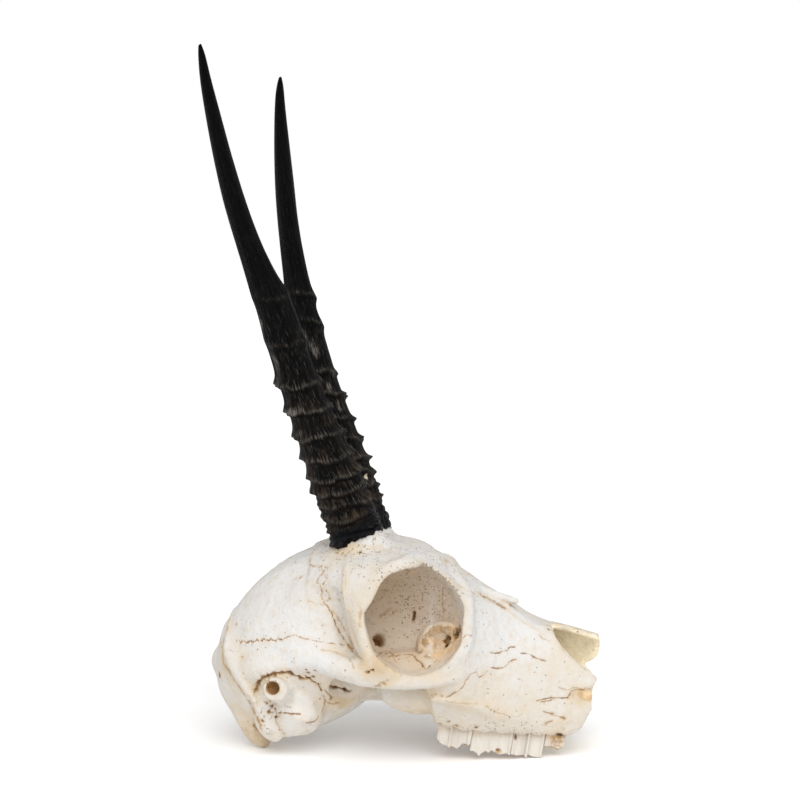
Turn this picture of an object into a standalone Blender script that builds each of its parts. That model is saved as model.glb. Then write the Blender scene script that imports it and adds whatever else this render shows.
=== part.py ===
"""Oribi skull without its lower jaw: one cranium, two horn sheaths and eight upper cheek teeth.

+X points to the snout, +Y to the animal's left and +Z up. Sizes below are millimetres.
"""

import math

import bmesh
import bpy
from mathutils import Matrix, Vector

MM = 0.001
GAP = 0.3

# Driving dimensions
BRAINCASE_CENTRE = (-29.0, 0.0, 32.7)
BRAINCASE_RADII = (35.0, 24.0, 24.5)
BRAINCASE_PITCH = 40.0
ORBIT_CENTRE = (2.4, 43.3)
ORBIT_RADII = (14.3, 15.5)
HORN_BASE = (-15.2, 11.8, 64.2)
CLEARANCE_RADIUS = 8.4
RIGHT_HORN_TIP = (-56.0, -42.0, 206.0)
LEFT_HORN_TIP = (-45.3, 42.0, 205.3)
HORN_BACK_BOW = {-1: 5.0, 1: 7.3}
HORN_IN_BOW = 2.4
CORE_RADIUS = 4.2
CORE_TOP_RADIUS = 3.2
CORE_LENGTH = 9.0
NOSE_WALL = 1.8

# Modelling steps
BONE_VOXEL = 1.0
CUTTER_VOXEL = 0.9
EDGE_VOXEL = 0.8
BONE_SHARE_KEPT = 0.039
HORN_SIDES = 16

# A shift that puts the origin under the middle of the skull and horns
ORIGIN_SHIFT = (2.615, 0.0, 0.0)

RIGHT, LEFT = -1, 1

# Outline of the face from behind the orbits to the snout: x, then (height, half width) from low to high
FACE = (
    (-26.0, ((24.5, 16.0), (27.0, 18.0), (33.0, 20.0), (40.0, 21.0), (47.0, 19.8), (52.0, 16.8), (57.0, 13.2),
             (60.0, 7.0), (60.8, 0.0))),
    (-18.0, ((24.5, 25.0), (27.0, 28.5), (33.0, 29.8), (40.0, 29.6), (48.0, 28.2), (54.5, 24.5), (59.0, 19.0),
             (62.4, 11.0), (63.4, 0.0))),
    (-8.0, ((24.5, 29.0), (27.5, 33.0), (34.0, 34.0), (43.0, 33.6), (52.0, 32.0), (58.0, 29.0), (60.8, 23.0),
            (63.2, 12.0), (63.8, 0.0))),
    (1.0, ((23.0, 28.5), (26.0, 32.8), (33.5, 34.0), (43.0, 33.2), (52.0, 32.2), (58.2, 30.2), (60.0, 24.8),
           (61.3, 12.0), (61.8, 0.0))),
    (6.0, ((20.0, 26.0), (23.5, 30.8), (31.0, 33.0), (41.0, 32.6), (50.0, 31.4), (55.6, 29.0), (57.5, 23.2),
           (58.8, 11.6), (59.3, 0.0))),
    (9.5, ((10.6, 21.0), (15.5, 24.5), (25.5, 30.2), (37.0, 31.6), (47.0, 30.4), (52.8, 27.8), (55.2, 21.4),
           (56.5, 11.0), (57.0, 0.0))),
    (16.0, ((9.0, 21.0), (13.8, 24.2), (23.0, 28.8), (33.0, 29.6), (42.0, 28.0), (48.3, 23.5), (51.4, 15.0),
            (52.4, 8.0), (52.8, 0.0))),
    (22.0, ((8.4, 20.5), (12.0, 22.8), (18.0, 25.4), (28.0, 24.6), (37.0, 21.6), (43.5, 16.5), (47.0, 10.0),
            (48.3, 5.5), (48.8, 0.0))),
    (29.0, ((7.8, 19.3), (10.5, 21.0), (15.0, 22.2), (24.0, 20.4), (33.0, 16.5), (39.6, 11.5), (42.6, 8.0),
            (43.9, 5.0), (44.3, 0.0))),
    (37.0, ((7.0, 17.3), (10.0, 18.4), (14.0, 18.6), (22.0, 16.8), (29.5, 13.5), (35.5, 10.5), (38.9, 8.0),
            (40.1, 5.0), (40.5, 0.0))),
    (45.0, ((6.0, 14.3), (9.0, 15.4), (13.0, 15.6), (20.0, 14.3), (26.5, 12.0), (31.5, 10.0), (34.8, 8.2),
            (36.5, 5.0), (37.1, 0.0))),
    (52.0, ((7.5, 11.5), (10.5, 12.6), (13.5, 12.8), (20.0, 12.0), (25.5, 11.0), (29.8, 10.0), (32.8, 8.2),
            (34.6, 5.0), (35.2, 0.0))),
    (59.0, ((11.0, 9.5), (13.0, 10.5), (16.0, 10.8), (20.0, 10.5), (24.5, 10.2), (28.5, 9.6), (31.2, 8.0),
            (32.8, 5.0), (33.4, 0.0))),
)
NOSE_FLOOR = 17.0

# Broken edges of the snout in side view, x and z: lost bone lies in front of them
RIGHT_BREAK = (
    (31.6, 60.0), (31.8, 44.2), (35.2, 41.2), (39.5, 39.8), (42.9, 35.0), (45.3, 31.4), (50.3, 27.5),
    (55.0, 22.1), (52.8, 19.2), (53.4, 14.2), (50.5, 8.6), (46.9, 6.0), (46.0, -6.0), (75.0, -6.0),
    (75.0, 60.0),
)
LEFT_BREAK = (
    (55.0, 60.0), (55.6, 34.4), (56.8, 31.6), (54.6, 24.4), (52.8, 19.2), (53.4, 14.2), (50.5, 8.6),
    (46.9, 6.0), (46.0, -6.0), (75.0, -6.0), (75.0, 60.0),
)

# Cheek teeth from the back forward: x of back and front, cheek side y at both, crown depth,
# bottom z and bone line z
TEETH = (
    ("molar_3", 8.8, 18.5, 19.4, 19.6, 8.0, 2.4, 9.2),
    ("molar_2", 18.9, 30.3, 19.5, 17.7, 8.2, 0.0, 8.2),
    ("molar_1", 30.7, 39.8, 17.6, 15.0, 7.4, 0.0, 7.2),
    ("premolar_4", 40.3, 46.0, 14.8, 12.8, 6.4, 2.3, 6.2),
)
ROOT_LENGTH = 5.0
ROOT_SHARE = 0.84
TOOTH_LEAN = 0.16
RIB_RISE = 0.5
TROUGH_CHEEK_ROOM = RIB_RISE + 1.5 * GAP
TROUGH_TONGUE_ROOM = 2.5 * GAP
TROUGH_END_ROOM = 2 * GAP
TROUGH_TOP = 16.65
TROUGH_SLOPE = 0.1

# Plan of a crown: share of its length from back to front, inset from the cheek line, then share of its depth
MOLAR_CHEEK = ((0.0, 0.9), (0.05, 0.2), (0.25, 0.45), (0.45, 0.3), (0.52, -0.45), (0.6, 0.3), (0.8, 0.4),
               (0.93, 0.1), (0.98, -0.5), (1.0, 0.5))
MOLAR_TONGUE = ((0.95, 0.55), (0.87, 0.92), (0.73, 1.0), (0.52, 0.8), (0.31, 1.0), (0.16, 0.9), (0.08, 0.55))
PREMOLAR_CHEEK = ((0.0, 0.9), (0.12, 0.3), (0.38, 0.1), (0.68, 0.35), (0.88, -0.35), (1.0, 0.6))
PREMOLAR_TONGUE = ((0.98, 0.5), (0.82, 0.88), (0.54, 1.0), (0.28, 0.9), (0.12, 0.55))

# Horn sheath radius against distance from the tip
HORN_TAPER = (
    (0.0, 0.7), (11.0, 1.7), (33.0, 2.95), (60.0, 3.9), (72.0, 4.5), (95.0, 6.1), (120.0, 6.8), (160.0, 7.3),
)
RING_PITCHES = (4.2, 4.4, 5.0, 5.6, 6.2, 6.6, 7.0, 7.2, 7.4, 7.6, 7.8, 8.0)
RING_RISE = 0.75
RING_FADE = 0.65
# where in the pitch of a ring its slope and its crest lie, and how high the slope stands
RING_SLOPE_AT, RING_SLOPE_HEIGHT, RING_CREST_AT = 0.45, 0.35, 0.72
PLAIN_STATIONS = 11
PLAIN_END = 1.5
TIP_RADIUS = 0.35


def clear_scene():
    for obj in list(bpy.data.objects):
        bpy.data.objects.remove(obj)


def mesh_object(name, bm):
    mesh = bpy.data.meshes.new(name)
    bm.to_mesh(mesh)
    bm.free()
    obj = bpy.data.objects.new(name, mesh)
    obj.location = Vector(ORIGIN_SHIFT) * MM
    bpy.context.scene.collection.objects.link(obj)
    return obj


def ellipsoid(bm, centre, radii, pitch=0.0, yaw=0.0, roll=0.0, level=4):
    """A stretched ball; a positive pitch lifts its front end, a positive yaw turns it to the left."""
    turn = (
        Matrix.Rotation(math.radians(yaw), 4, "Z")
        @ Matrix.Rotation(-math.radians(pitch), 4, "Y")
        @ Matrix.Rotation(math.radians(roll), 4, "X")
    )
    place = Matrix.Translation(Vector(centre) * MM) @ turn @ Matrix.Diagonal((*[r * MM for r in radii], 1.0))
    bmesh.ops.create_icosphere(bm, subdivisions=level, radius=1.0, matrix=place)


def rod(bm, points, radii, sides=16):
    """A tapered round bar through the points, with a ball at each of them."""
    spots = [Vector(p) for p in points]
    for start, end, first, last in zip(spots, spots[1:], radii, radii[1:]):
        along = end - start
        turn = along.to_track_quat("Z", "X").to_matrix().to_4x4()
        place = Matrix.Translation((start + end) / 2 * MM) @ turn
        bmesh.ops.create_cone(
            bm,
            cap_ends=True,
            segments=sides,
            radius1=first * MM,
            radius2=last * MM,
            depth=along.length * MM,
            matrix=place,
        )
    for spot, radius in zip(spots, radii):
        bmesh.ops.create_icosphere(
            bm, subdivisions=3, radius=radius * MM, matrix=Matrix.Translation(spot * MM)
        )


def smooth_path(points, steps):
    """Catmull-Rom points through the given ones, steps to a span."""
    spots = [Vector(p) for p in points]
    ends = [2 * spots[0] - spots[1], *spots, 2 * spots[-1] - spots[-2]]
    path = []
    for a, b, c, d in zip(ends, ends[1:], ends[2:], ends[3:]):
        for step in range(steps):
            t = step / steps
            square, cube = 2 * a - 5 * b + 4 * c - d, 3 * b - a - 3 * c + d
            path.append(0.5 * (2 * b + (c - a) * t + square * t**2 + cube * t**3))
    path.append(spots[-1])
    return path


def between(table, value):
    """Reads a table of (key, result) rows in straight lines between its rows."""
    for (low, first), (high, last) in zip(table, table[1:]):
        if value <= high:
            share = max(0.0, (value - low) / (high - low))
            return first + (last - first) * share
    return table[-1][1]


def loft(bm, loops):
    """Bridges the loops in turn and caps both ends."""
    rings = [[bm.verts.new(Vector(p) * MM) for p in loop] for loop in loops]
    faces = []
    for ring, following in zip(rings, rings[1:]):
        for i in range(len(ring)):
            j = (i + 1) % len(ring)
            faces.append(bm.faces.new((ring[i], ring[j], following[j], following[i])))
    faces.append(bm.faces.new(rings[0][::-1]))
    faces.append(bm.faces.new(rings[-1]))
    bmesh.ops.recalc_face_normals(bm, faces=faces)


def prism(bm, outline, start, end):
    """A straight-sided block: the x and z outline drawn out along y."""
    loft(bm, [[(x, y, z) for x, z in outline] for y in (start, end)])


def face_loop(x, rows):
    right = [(x, -width, z) for z, width in rows]
    left = [(x, width, z) for z, width in rows[-2::-1]]
    return right + left


def hollow_rows(x, rows):
    """The nose space inside one section of the face."""
    top = rows[-1][0] - NOSE_WALL * 1.3
    shares = (0.0, 0.1, 0.25, 0.45, 0.65, 0.82, 0.94, 1.0)
    heights = [NOSE_FLOOR + (top - NOSE_FLOOR) * share for share in shares]
    inner = [(z, max(0.0, between(rows, z) - NOSE_WALL)) for z in heights]
    inner[0] = (inner[0][0], inner[1][1] * 0.7)
    inner[-1] = (top, 0.0)
    return inner


def sided(side, points):
    return [(x, side * y, z) for x, y, z in points]


def braincase(bm):
    ellipsoid(bm, BRAINCASE_CENTRE, BRAINCASE_RADII, pitch=BRAINCASE_PITCH)
    # the leaning plate at the back of the head with its crest, and the knob on it
    ellipsoid(bm, (-48.6, 0.0, 22.0), (4.2, 21.6, 15.6), pitch=26.0)
    ellipsoid(bm, (-54.6, 0.0, 23.0), (7.2, 10.0, 6.6), pitch=10.0)


def occiput(bm, side):
    # the condyle, the process in front of it and the swelling over the ear
    ellipsoid(bm, (-47.2, side * 7.8, 10.0), (12.0, 4.6, 4.7), pitch=-57.0, yaw=side * 8)
    rod(bm, sided(side, [(-45.0, 18.0, 18), (-43.0, 18.0, 10.5), (-40.2, 17.0, 2.2)]), (4.4, 4.0, 3.0))
    ellipsoid(bm, (-37.5, side * 19.5, 26.5), (11.5, 5.0, 6.0))


def ear(bm, side):
    ellipsoid(bm, (-32.6, side * 16.2, 15.6), (7.8, 6.4, 9.4), pitch=10.0)
    rod(bm, sided(side, [(-33.5, 17.0, 19.5), (-39.6, 26.2, 22.4)]), (3.8, 3.1))


def skull_base(bm):
    rod(bm, [(-42, 0, 13), (-32, 0, 13.5), (-18, 0, 17.5), (-4, 0, 21)], (7.0, 6.4, 5.6, 6.4))
    ellipsoid(bm, (-4.0, 0.0, 37.0), (24.0, 10.5, 20.0))
    for side in (RIGHT, LEFT):
        # the thin upright plates beside the back of the palate, and the swelling behind the last molar
        ellipsoid(bm, (-11.0, side * 8.0, 20.5), (14.0, 2.0, 5.6), pitch=-2.0)
        ellipsoid(bm, (1.0, side * 14.8, 18.0), (9.0, 6.8, 6.8), pitch=-8.0)


def cheek(bm, side):
    # the arch from the ear to the cheek bone
    path = smooth_path(sided(side, [(-35, 21, 27), (-27, 25.2, 27.6), (-19, 28.6, 28.4), (-8, 30.2, 29)]), 3)
    rod(bm, path, [3.4 + 0.6 * i / (len(path) - 1) for i in range(len(path))])


def pedicle(bm, side):
    x, y, z = HORN_BASE
    start, along = horn_point(side, 0.0), horn_direction(side, 0.0)
    top = start + along * (CORE_LENGTH + 4.0)
    below = [(x + 4.5, side * (y - 0.6), z - 15), (x + 1.6, side * (y - 0.3), z - 5)]
    rod(bm, [*below, start, top], (10.5, 8.8, 7.4, 7.0))


def face():
    """Sections of the face, smoothed between the stations: x, then (height, half width) rows."""
    columns = [smooth_path([(x, *rows[i]) for x, rows in FACE], 3) for i in range(len(FACE[0][1]))]
    for step in zip(*columns):
        yield step[0][0], [(point[1], point[2]) for point in step]


def face_shell(bm):
    loft(bm, [face_loop(x, rows) for x, rows in face()])


def nose_hollow(bm):
    stations = [(x, rows) for x, rows in face() if x > 20.0]
    last = stations[-1][1]
    stations.append((70.0, last))
    loft(bm, [face_loop(x, hollow_rows(x, rows)) for x, rows in stations])


def bone_forms(bm):
    braincase(bm)
    skull_base(bm)
    face_shell(bm)
    # the broken tip of the right nasal bone stands a little proud
    rod(bm, [(19.0, -5.0, 47.6), (26.0, -5.4, 45.2), (31.4, -5.6, 43.4)], (1.8, 1.7, 1.2))
    for side in (RIGHT, LEFT):
        occiput(bm, side)
        ear(bm, side)
        cheek(bm, side)
        pedicle(bm, side)


def orbit_hollows(bm):
    x, z = ORBIT_CENTRE
    wide, high = ORBIT_RADII
    for side in (RIGHT, LEFT):
        ellipsoid(bm, (x, side * 33.0, z), (wide, 22.0, high), yaw=side * 3)
        ellipsoid(bm, (x - 1.5, side * 22.0, z - 0.8), (wide - 0.6, 12.0, high - 1.0), yaw=side * 8)
        # out behind the bar, between the arch and the braincase
        rod(bm, sided(side, [(-6, 23.6, 44), (-14, 24.6, 42.5), (-20, 26.8, 41)]), (8.0, 3.6, 3.8))
        groove = [(-24.4, 27.4, 48.5), (-22.9, 28.2, 44.9), (-19.9, 28.8, 39.7), (-17.4, 29.0, 35.4)]
        rod(bm, sided(side, groove), (2.6, 4.2, 4.2, 3.4))
        way_down = [(-16, 24.6, 47), (-17, 24.4, 40), (-16, 22.5, 26), (-15, 22.0, 12)]
        rod(bm, sided(side, way_down), (2.6, 3.6, 4.2, 6.0))


def base_hollows(bm):
    # the roof of the mouth, the way from it to the nose and the spaces inside the arches
    ellipsoid(bm, (30.0, 0.0, 2.0), (36.0, 11.0, 11.5))
    ellipsoid(bm, (-3.0, 0.0, 13.5), (16.0, 5.6, 7.5))
    for side in (RIGHT, LEFT):
        ellipsoid(bm, (-12.0, side * 20.5, 20.0), (11.0, 6.4, 13.0), pitch=10.0)


def ear_and_neck_holes(bm):
    rod(bm, [(-62, 0, 11), (-52, 0, 14.5), (-43, 0, 19)], (5.6, 6.0, 6.4))
    for side in (RIGHT, LEFT):
        rod(bm, sided(side, [(-42, 30.0, 23.4), (-35.5, 20.0, 20.4)]), (2.0, 1.8))


def broken_ends(bm):
    prism(bm, RIGHT_BREAK, -40.0, 0.8)
    prism(bm, LEFT_BREAK, 0.7, 40.0)


def skin(obj, voxel, smooth_steps):
    """One closed, softened skin around everything that the object holds."""
    remesh = obj.modifiers.new("skin", "REMESH")
    remesh.mode = "VOXEL"
    remesh.voxel_size = voxel * MM
    smooth = obj.modifiers.new("soften", "SMOOTH")
    smooth.factor = 0.5
    smooth.iterations = smooth_steps


def united(name, build, voxel, smooth_steps):
    bm = bmesh.new()
    build(bm)
    obj = mesh_object(name, bm)
    skin(obj, voxel, smooth_steps)
    return obj


def hide(tool):
    tool.hide_render = True
    tool.display_type = "WIRE"
    return tool


def cutter(name, build, smooth_steps=3):
    return hide(united(name, build, CUTTER_VOXEL, smooth_steps))


def exact_cutter(name, build):
    bm = bmesh.new()
    build(bm)
    return hide(mesh_object(name, bm))


def carve(obj, tool):
    change = obj.modifiers.new(tool.name, "BOOLEAN")
    change.operation = "DIFFERENCE"
    change.object = tool
    change.solver = "EXACT"


def horn_tip(side):
    return Vector(RIGHT_HORN_TIP if side == RIGHT else LEFT_HORN_TIP)


def horn_point(side, share):
    """A point on the middle line of a horn, by its share of the way from base to tip."""
    x, y, z = HORN_BASE
    bow = 4 * share * (1 - share)
    spot = Vector((x, side * y, z)).lerp(horn_tip(side), share)
    return spot + Vector((-HORN_BACK_BOW[side] * bow, -side * HORN_IN_BOW * bow, 0.0))


def horn_direction(side, share):
    step = 0.002
    return (horn_point(side, share + step) - horn_point(side, share - step)).normalized()


def cross_ring(centre, along, radius, bulge=0.0, sides=HORN_SIDES):
    """A ring of points square to a direction; bulge swells it most at the front."""
    side_way = along.cross(Vector((1, 0, 0))).normalized()
    front_way = side_way.cross(along).normalized()
    ring = []
    for step in range(sides):
        angle = 2 * math.pi * step / sides
        reach = radius + bulge * (0.75 + 0.25 * math.cos(angle))
        ring.append(centre + (front_way * math.cos(angle) + side_way * math.sin(angle)) * reach)
    return ring


def horn_sheath(bm, side):
    length = (horn_tip(side) - horn_point(side, 0.0)).length
    start, along = horn_point(side, 0.0), horn_direction(side, 0.0)
    loops = [
        cross_ring(start + along * (CORE_LENGTH + 2 * GAP), along, CORE_TOP_RADIUS + GAP),
        cross_ring(start + along * GAP, along, CORE_RADIUS + GAP),
    ]
    # the ringed part: a valley, a slope and a crest for each ring
    stations, reach = [], GAP
    for number, pitch in enumerate(RING_PITCHES):
        fade = 1.0 - RING_FADE * (number / len(RING_PITCHES)) ** 2
        stations.append((reach, 0.0))
        stations.append((reach + RING_SLOPE_AT * pitch, RING_SLOPE_HEIGHT * RING_RISE * fade))
        stations.append((reach + RING_CREST_AT * pitch, RING_RISE * fade))
        reach += pitch
    # the plain part up to the tip
    for step in range(PLAIN_STATIONS):
        share = (step / (PLAIN_STATIONS - 1)) ** 0.9
        stations.append((reach + (length - PLAIN_END - reach) * share, 0.0))
    for distance, bulge in stations:
        share = distance / length
        radius = between(HORN_TAPER, length - distance)
        loops.append(cross_ring(horn_point(side, share), horn_direction(side, share), radius, bulge))
    loops.append(cross_ring(horn_point(side, 0.998), horn_direction(side, 0.99), TIP_RADIUS))
    loft(bm, loops)


def horn_clearances(bm):
    """Space for each sheath: it leaves a flat shoulder and the bone core that stands on it."""
    for side in (RIGHT, LEFT):
        start, along = horn_point(side, 0.0), horn_direction(side, 0.0)
        loft(
            bm,
            [
                cross_ring(start + along * CORE_LENGTH, along, CORE_TOP_RADIUS),
                cross_ring(start, along, CORE_RADIUS),
                cross_ring(start, along, CLEARANCE_RADIUS),
                cross_ring(start + along * 3.0 * CORE_LENGTH, along, CLEARANCE_RADIUS),
            ],
        )


def crown_outline(tooth, side, growth):
    """The crown in plan as x and y, its outline moved out by growth."""
    name, back, front, back_y, front_y, depth, _, _ = tooth
    molar = name.startswith("molar")
    cheek = MOLAR_CHEEK if molar else PREMOLAR_CHEEK
    tongue = MOLAR_TONGUE if molar else PREMOLAR_TONGUE
    start, end = Vector((back, back_y)), Vector((front, front_y))
    row = end - start
    inward = Vector((row.y, -row.x)).normalized()
    points = [start + row * share + inward * inset for share, inset in cheek]
    points += [start + row * share + inward * depth * inset for share, inset in tongue]
    moved = []
    for before, spot, after in zip([points[-1], *points], points, [*points[1:], points[0]]):
        edge_in, edge_out = (spot - before).normalized(), (after - spot).normalized()
        normal = Vector((-(edge_in.y + edge_out.y), edge_in.x + edge_out.x)).normalized()
        moved.append(spot + normal * growth)
    return [(x, side * y) for x, y in moved]


def crown_loops(tooth, side, growth, bottom, top):
    """Level loops of one tooth: its root narrows upward and the whole leans back below the bone."""
    line = tooth[7]
    outline = crown_outline(tooth, side, growth)
    centre_x = sum(x for x, _ in outline) / len(outline)
    centre_y = sum(y for _, y in outline) / len(outline)
    loops = []
    for z, share in ((bottom, 0.97), (line, 1.0), (top, ROOT_SHARE)):
        lean = min(0.0, z - line) * TOOTH_LEAN
        loops.append(
            [
                (centre_x + (x - centre_x) * share + lean, centre_y + (y - centre_y) * share, z)
                for x, y in outline
            ]
        )
    return loops


def tooth_body(bm, tooth, side):
    bottom, line = tooth[6], tooth[7]
    loft(bm, crown_loops(tooth, side, 0.0, bottom, line + ROOT_LENGTH))


def tooth_trough(bm, side):
    """One long socket for a row of teeth, a gap wider and deeper than their roots."""
    cheek, tongue = [], []
    for _, back, front, back_y, front_y, depth, _, line in TEETH:
        for x, y in ((back, back_y), (front, front_y)):
            cheek.append((x, y + TROUGH_CHEEK_ROOM, line))
            tongue.append((x, y - depth - TROUGH_TONGUE_ROOM, line))
    rim = cheek + tongue[::-1]
    last = len(TEETH) * 2
    for number in (0, -1):
        rim[number] = (rim[number][0] - TROUGH_END_ROOM, *rim[number][1:])
    for number in (last - 1, last):
        rim[number] = (rim[number][0] + TROUGH_END_ROOM, *rim[number][1:])
    loops = [
        [(x - (line + 2.0) * TOOTH_LEAN, side * y, -2.0) for x, y, line in rim],
        [(x, side * y, line) for x, y, line in rim],
        [(x, side * y, TROUGH_TOP - TROUGH_SLOPE * x) for x, y, line in rim],
    ]
    loft(bm, loops)


def floor_block(bm):
    """Everything below the level that the skull rests on."""
    loft(bm, [[(x, y, z) for x, y in ((-90, -60), (90, -60), (90, 60), (-90, 60))] for z in (-30.0, 0.0)])


def dressed(obj, material):
    obj.data.materials.append(material)
    obj.data.shade_smooth()
    return obj


def principled(name, colour, roughness):
    material = bpy.data.materials.new(name)
    material.use_nodes = True
    shader = material.node_tree.nodes["Principled BSDF"]
    shader.inputs["Base Color"].default_value = (*colour, 1.0)
    shader.inputs["Roughness"].default_value = roughness
    shader.inputs["Metallic"].default_value = 0.0
    return material


def main():
    clear_scene()
    cranium = united("cranium", bone_forms, BONE_VOXEL, 5)
    for name, build in (
        ("orbit_cutter", orbit_hollows),
        ("nose_cutter", nose_hollow),
        ("mouth_cutter", base_hollows),
        ("hole_cutter", ear_and_neck_holes),
        ("snout_cutter", broken_ends),
    ):
        carve(cranium, cutter(name, build))
    skin(cranium, EDGE_VOXEL, 1)
    fewer = cranium.modifiers.new("fewer_faces", "DECIMATE")
    fewer.ratio = BONE_SHARE_KEPT
    for name, build in (
        ("horn_clearance", horn_clearances),
        ("right_trough", lambda bm: tooth_trough(bm, RIGHT)),
        ("left_trough", lambda bm: tooth_trough(bm, LEFT)),
        ("floor_block", floor_block),
    ):
        carve(cranium, exact_cutter(name, build))
    dressed(cranium, principled("bone", (0.80, 0.74, 0.64), 0.7))

    for side, word, colour in ((RIGHT, "right", 0.018), (LEFT, "left", 0.016)):
        bm = bmesh.new()
        horn_sheath(bm, side)
        sheath = mesh_object(f"{word}_horn_sheath", bm)
        dressed(sheath, principled(f"{word}_horn", (colour, colour, colour * 1.1), 0.5))
        for tooth in TEETH:
            bm = bmesh.new()
            tooth_body(bm, tooth, side)
            name = f"{word}_{tooth[0]}"
            dressed(mesh_object(name, bm), principled(f"{name}_enamel", (0.74, 0.69, 0.60), 0.45))


main()
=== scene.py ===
import math

import bpy
import numpy as np
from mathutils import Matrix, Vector
from mathutils.bvhtree import BVHTree


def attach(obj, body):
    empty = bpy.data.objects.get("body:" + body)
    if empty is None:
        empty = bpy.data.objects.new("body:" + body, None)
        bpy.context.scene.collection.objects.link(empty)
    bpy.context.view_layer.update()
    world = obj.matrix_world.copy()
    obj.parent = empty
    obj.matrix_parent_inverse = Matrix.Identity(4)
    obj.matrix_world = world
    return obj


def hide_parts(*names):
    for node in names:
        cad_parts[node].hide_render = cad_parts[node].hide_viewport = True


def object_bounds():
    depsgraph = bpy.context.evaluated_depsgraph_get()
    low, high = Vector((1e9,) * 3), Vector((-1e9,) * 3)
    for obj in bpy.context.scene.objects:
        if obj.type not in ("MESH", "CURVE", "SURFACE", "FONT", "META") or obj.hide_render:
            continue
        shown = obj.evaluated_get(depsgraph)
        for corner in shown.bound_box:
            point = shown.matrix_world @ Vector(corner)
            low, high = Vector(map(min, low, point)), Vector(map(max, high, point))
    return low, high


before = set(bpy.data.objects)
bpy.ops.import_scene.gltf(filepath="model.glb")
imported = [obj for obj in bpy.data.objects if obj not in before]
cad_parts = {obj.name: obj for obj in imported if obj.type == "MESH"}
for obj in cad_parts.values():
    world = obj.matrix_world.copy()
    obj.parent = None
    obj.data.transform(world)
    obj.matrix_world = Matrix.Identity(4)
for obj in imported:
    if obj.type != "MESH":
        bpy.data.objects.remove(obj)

cad_box = [list(corner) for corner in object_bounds()]

# The camera
# It stands level with the right side of the head and a little in front of it, four degrees above the table.
# Marks on the bone are placed by where they lie in this view, so its geometry comes first.
MM = 0.001
EYE_DISTANCE = 565.0
EYE_TURN, EYE_LIFT = math.radians(4.2), math.radians(4.0)
EYE_TARGET = np.array((-1.385, 0.0, 104.5))
FRAME, PIXEL = 800, 0.30
eye_back = np.array(
    (math.sin(EYE_TURN) * math.cos(EYE_LIFT), -math.cos(EYE_TURN) * math.cos(EYE_LIFT), math.sin(EYE_LIFT))
)
eye_right = np.array((math.cos(EYE_TURN), math.sin(EYE_TURN), 0.0))
eye_up = np.cross(eye_back, eye_right)
eye_spot = EYE_TARGET + eye_back * EYE_DISTANCE

view = bpy.data.cameras.new("photo_view")
view.lens = 36.0 * EYE_DISTANCE / (FRAME * PIXEL)
view.clip_end = 20.0
camera = bpy.data.objects.new("photo_view", view)
camera.location = Vector(eye_spot) * MM
camera.rotation_euler = Vector(eye_back).to_track_quat("Z", "Y").to_euler()
bpy.context.scene.collection.objects.link(camera)
bpy.context.scene.camera = camera


def sight(across, down):
    """The way that a point of the 800 by 800 view is looked along."""
    middle = FRAME / 2
    way = -eye_back * EYE_DISTANCE + eye_right * (across - middle) * PIXEL + eye_up * (middle - down) * PIXEL
    return Vector(way).normalized()


# The cranium
# One piece of dry bleached bone, grown together from the braincase, face, cheek arches and skull base.
# Its skin is drawn round the same forms as the solid, then finer where edges, sutures and cracks run.
SHIFT = np.array((2.615, 0.0, 0.0))
HORN_BASE = np.array((-15.2, 11.8, 64.2))
HORN_TIP = {-1: np.array((-56.0, -42.0, 206.0)), 1: np.array((-45.3, 42.0, 205.3))}
HORN_BACK_BOW = {-1: 5.0, 1: 7.3}
HORN_IN_BOW = 2.4
NOSE_FLOOR, NOSE_WALL = 17.0, 2.3

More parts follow.
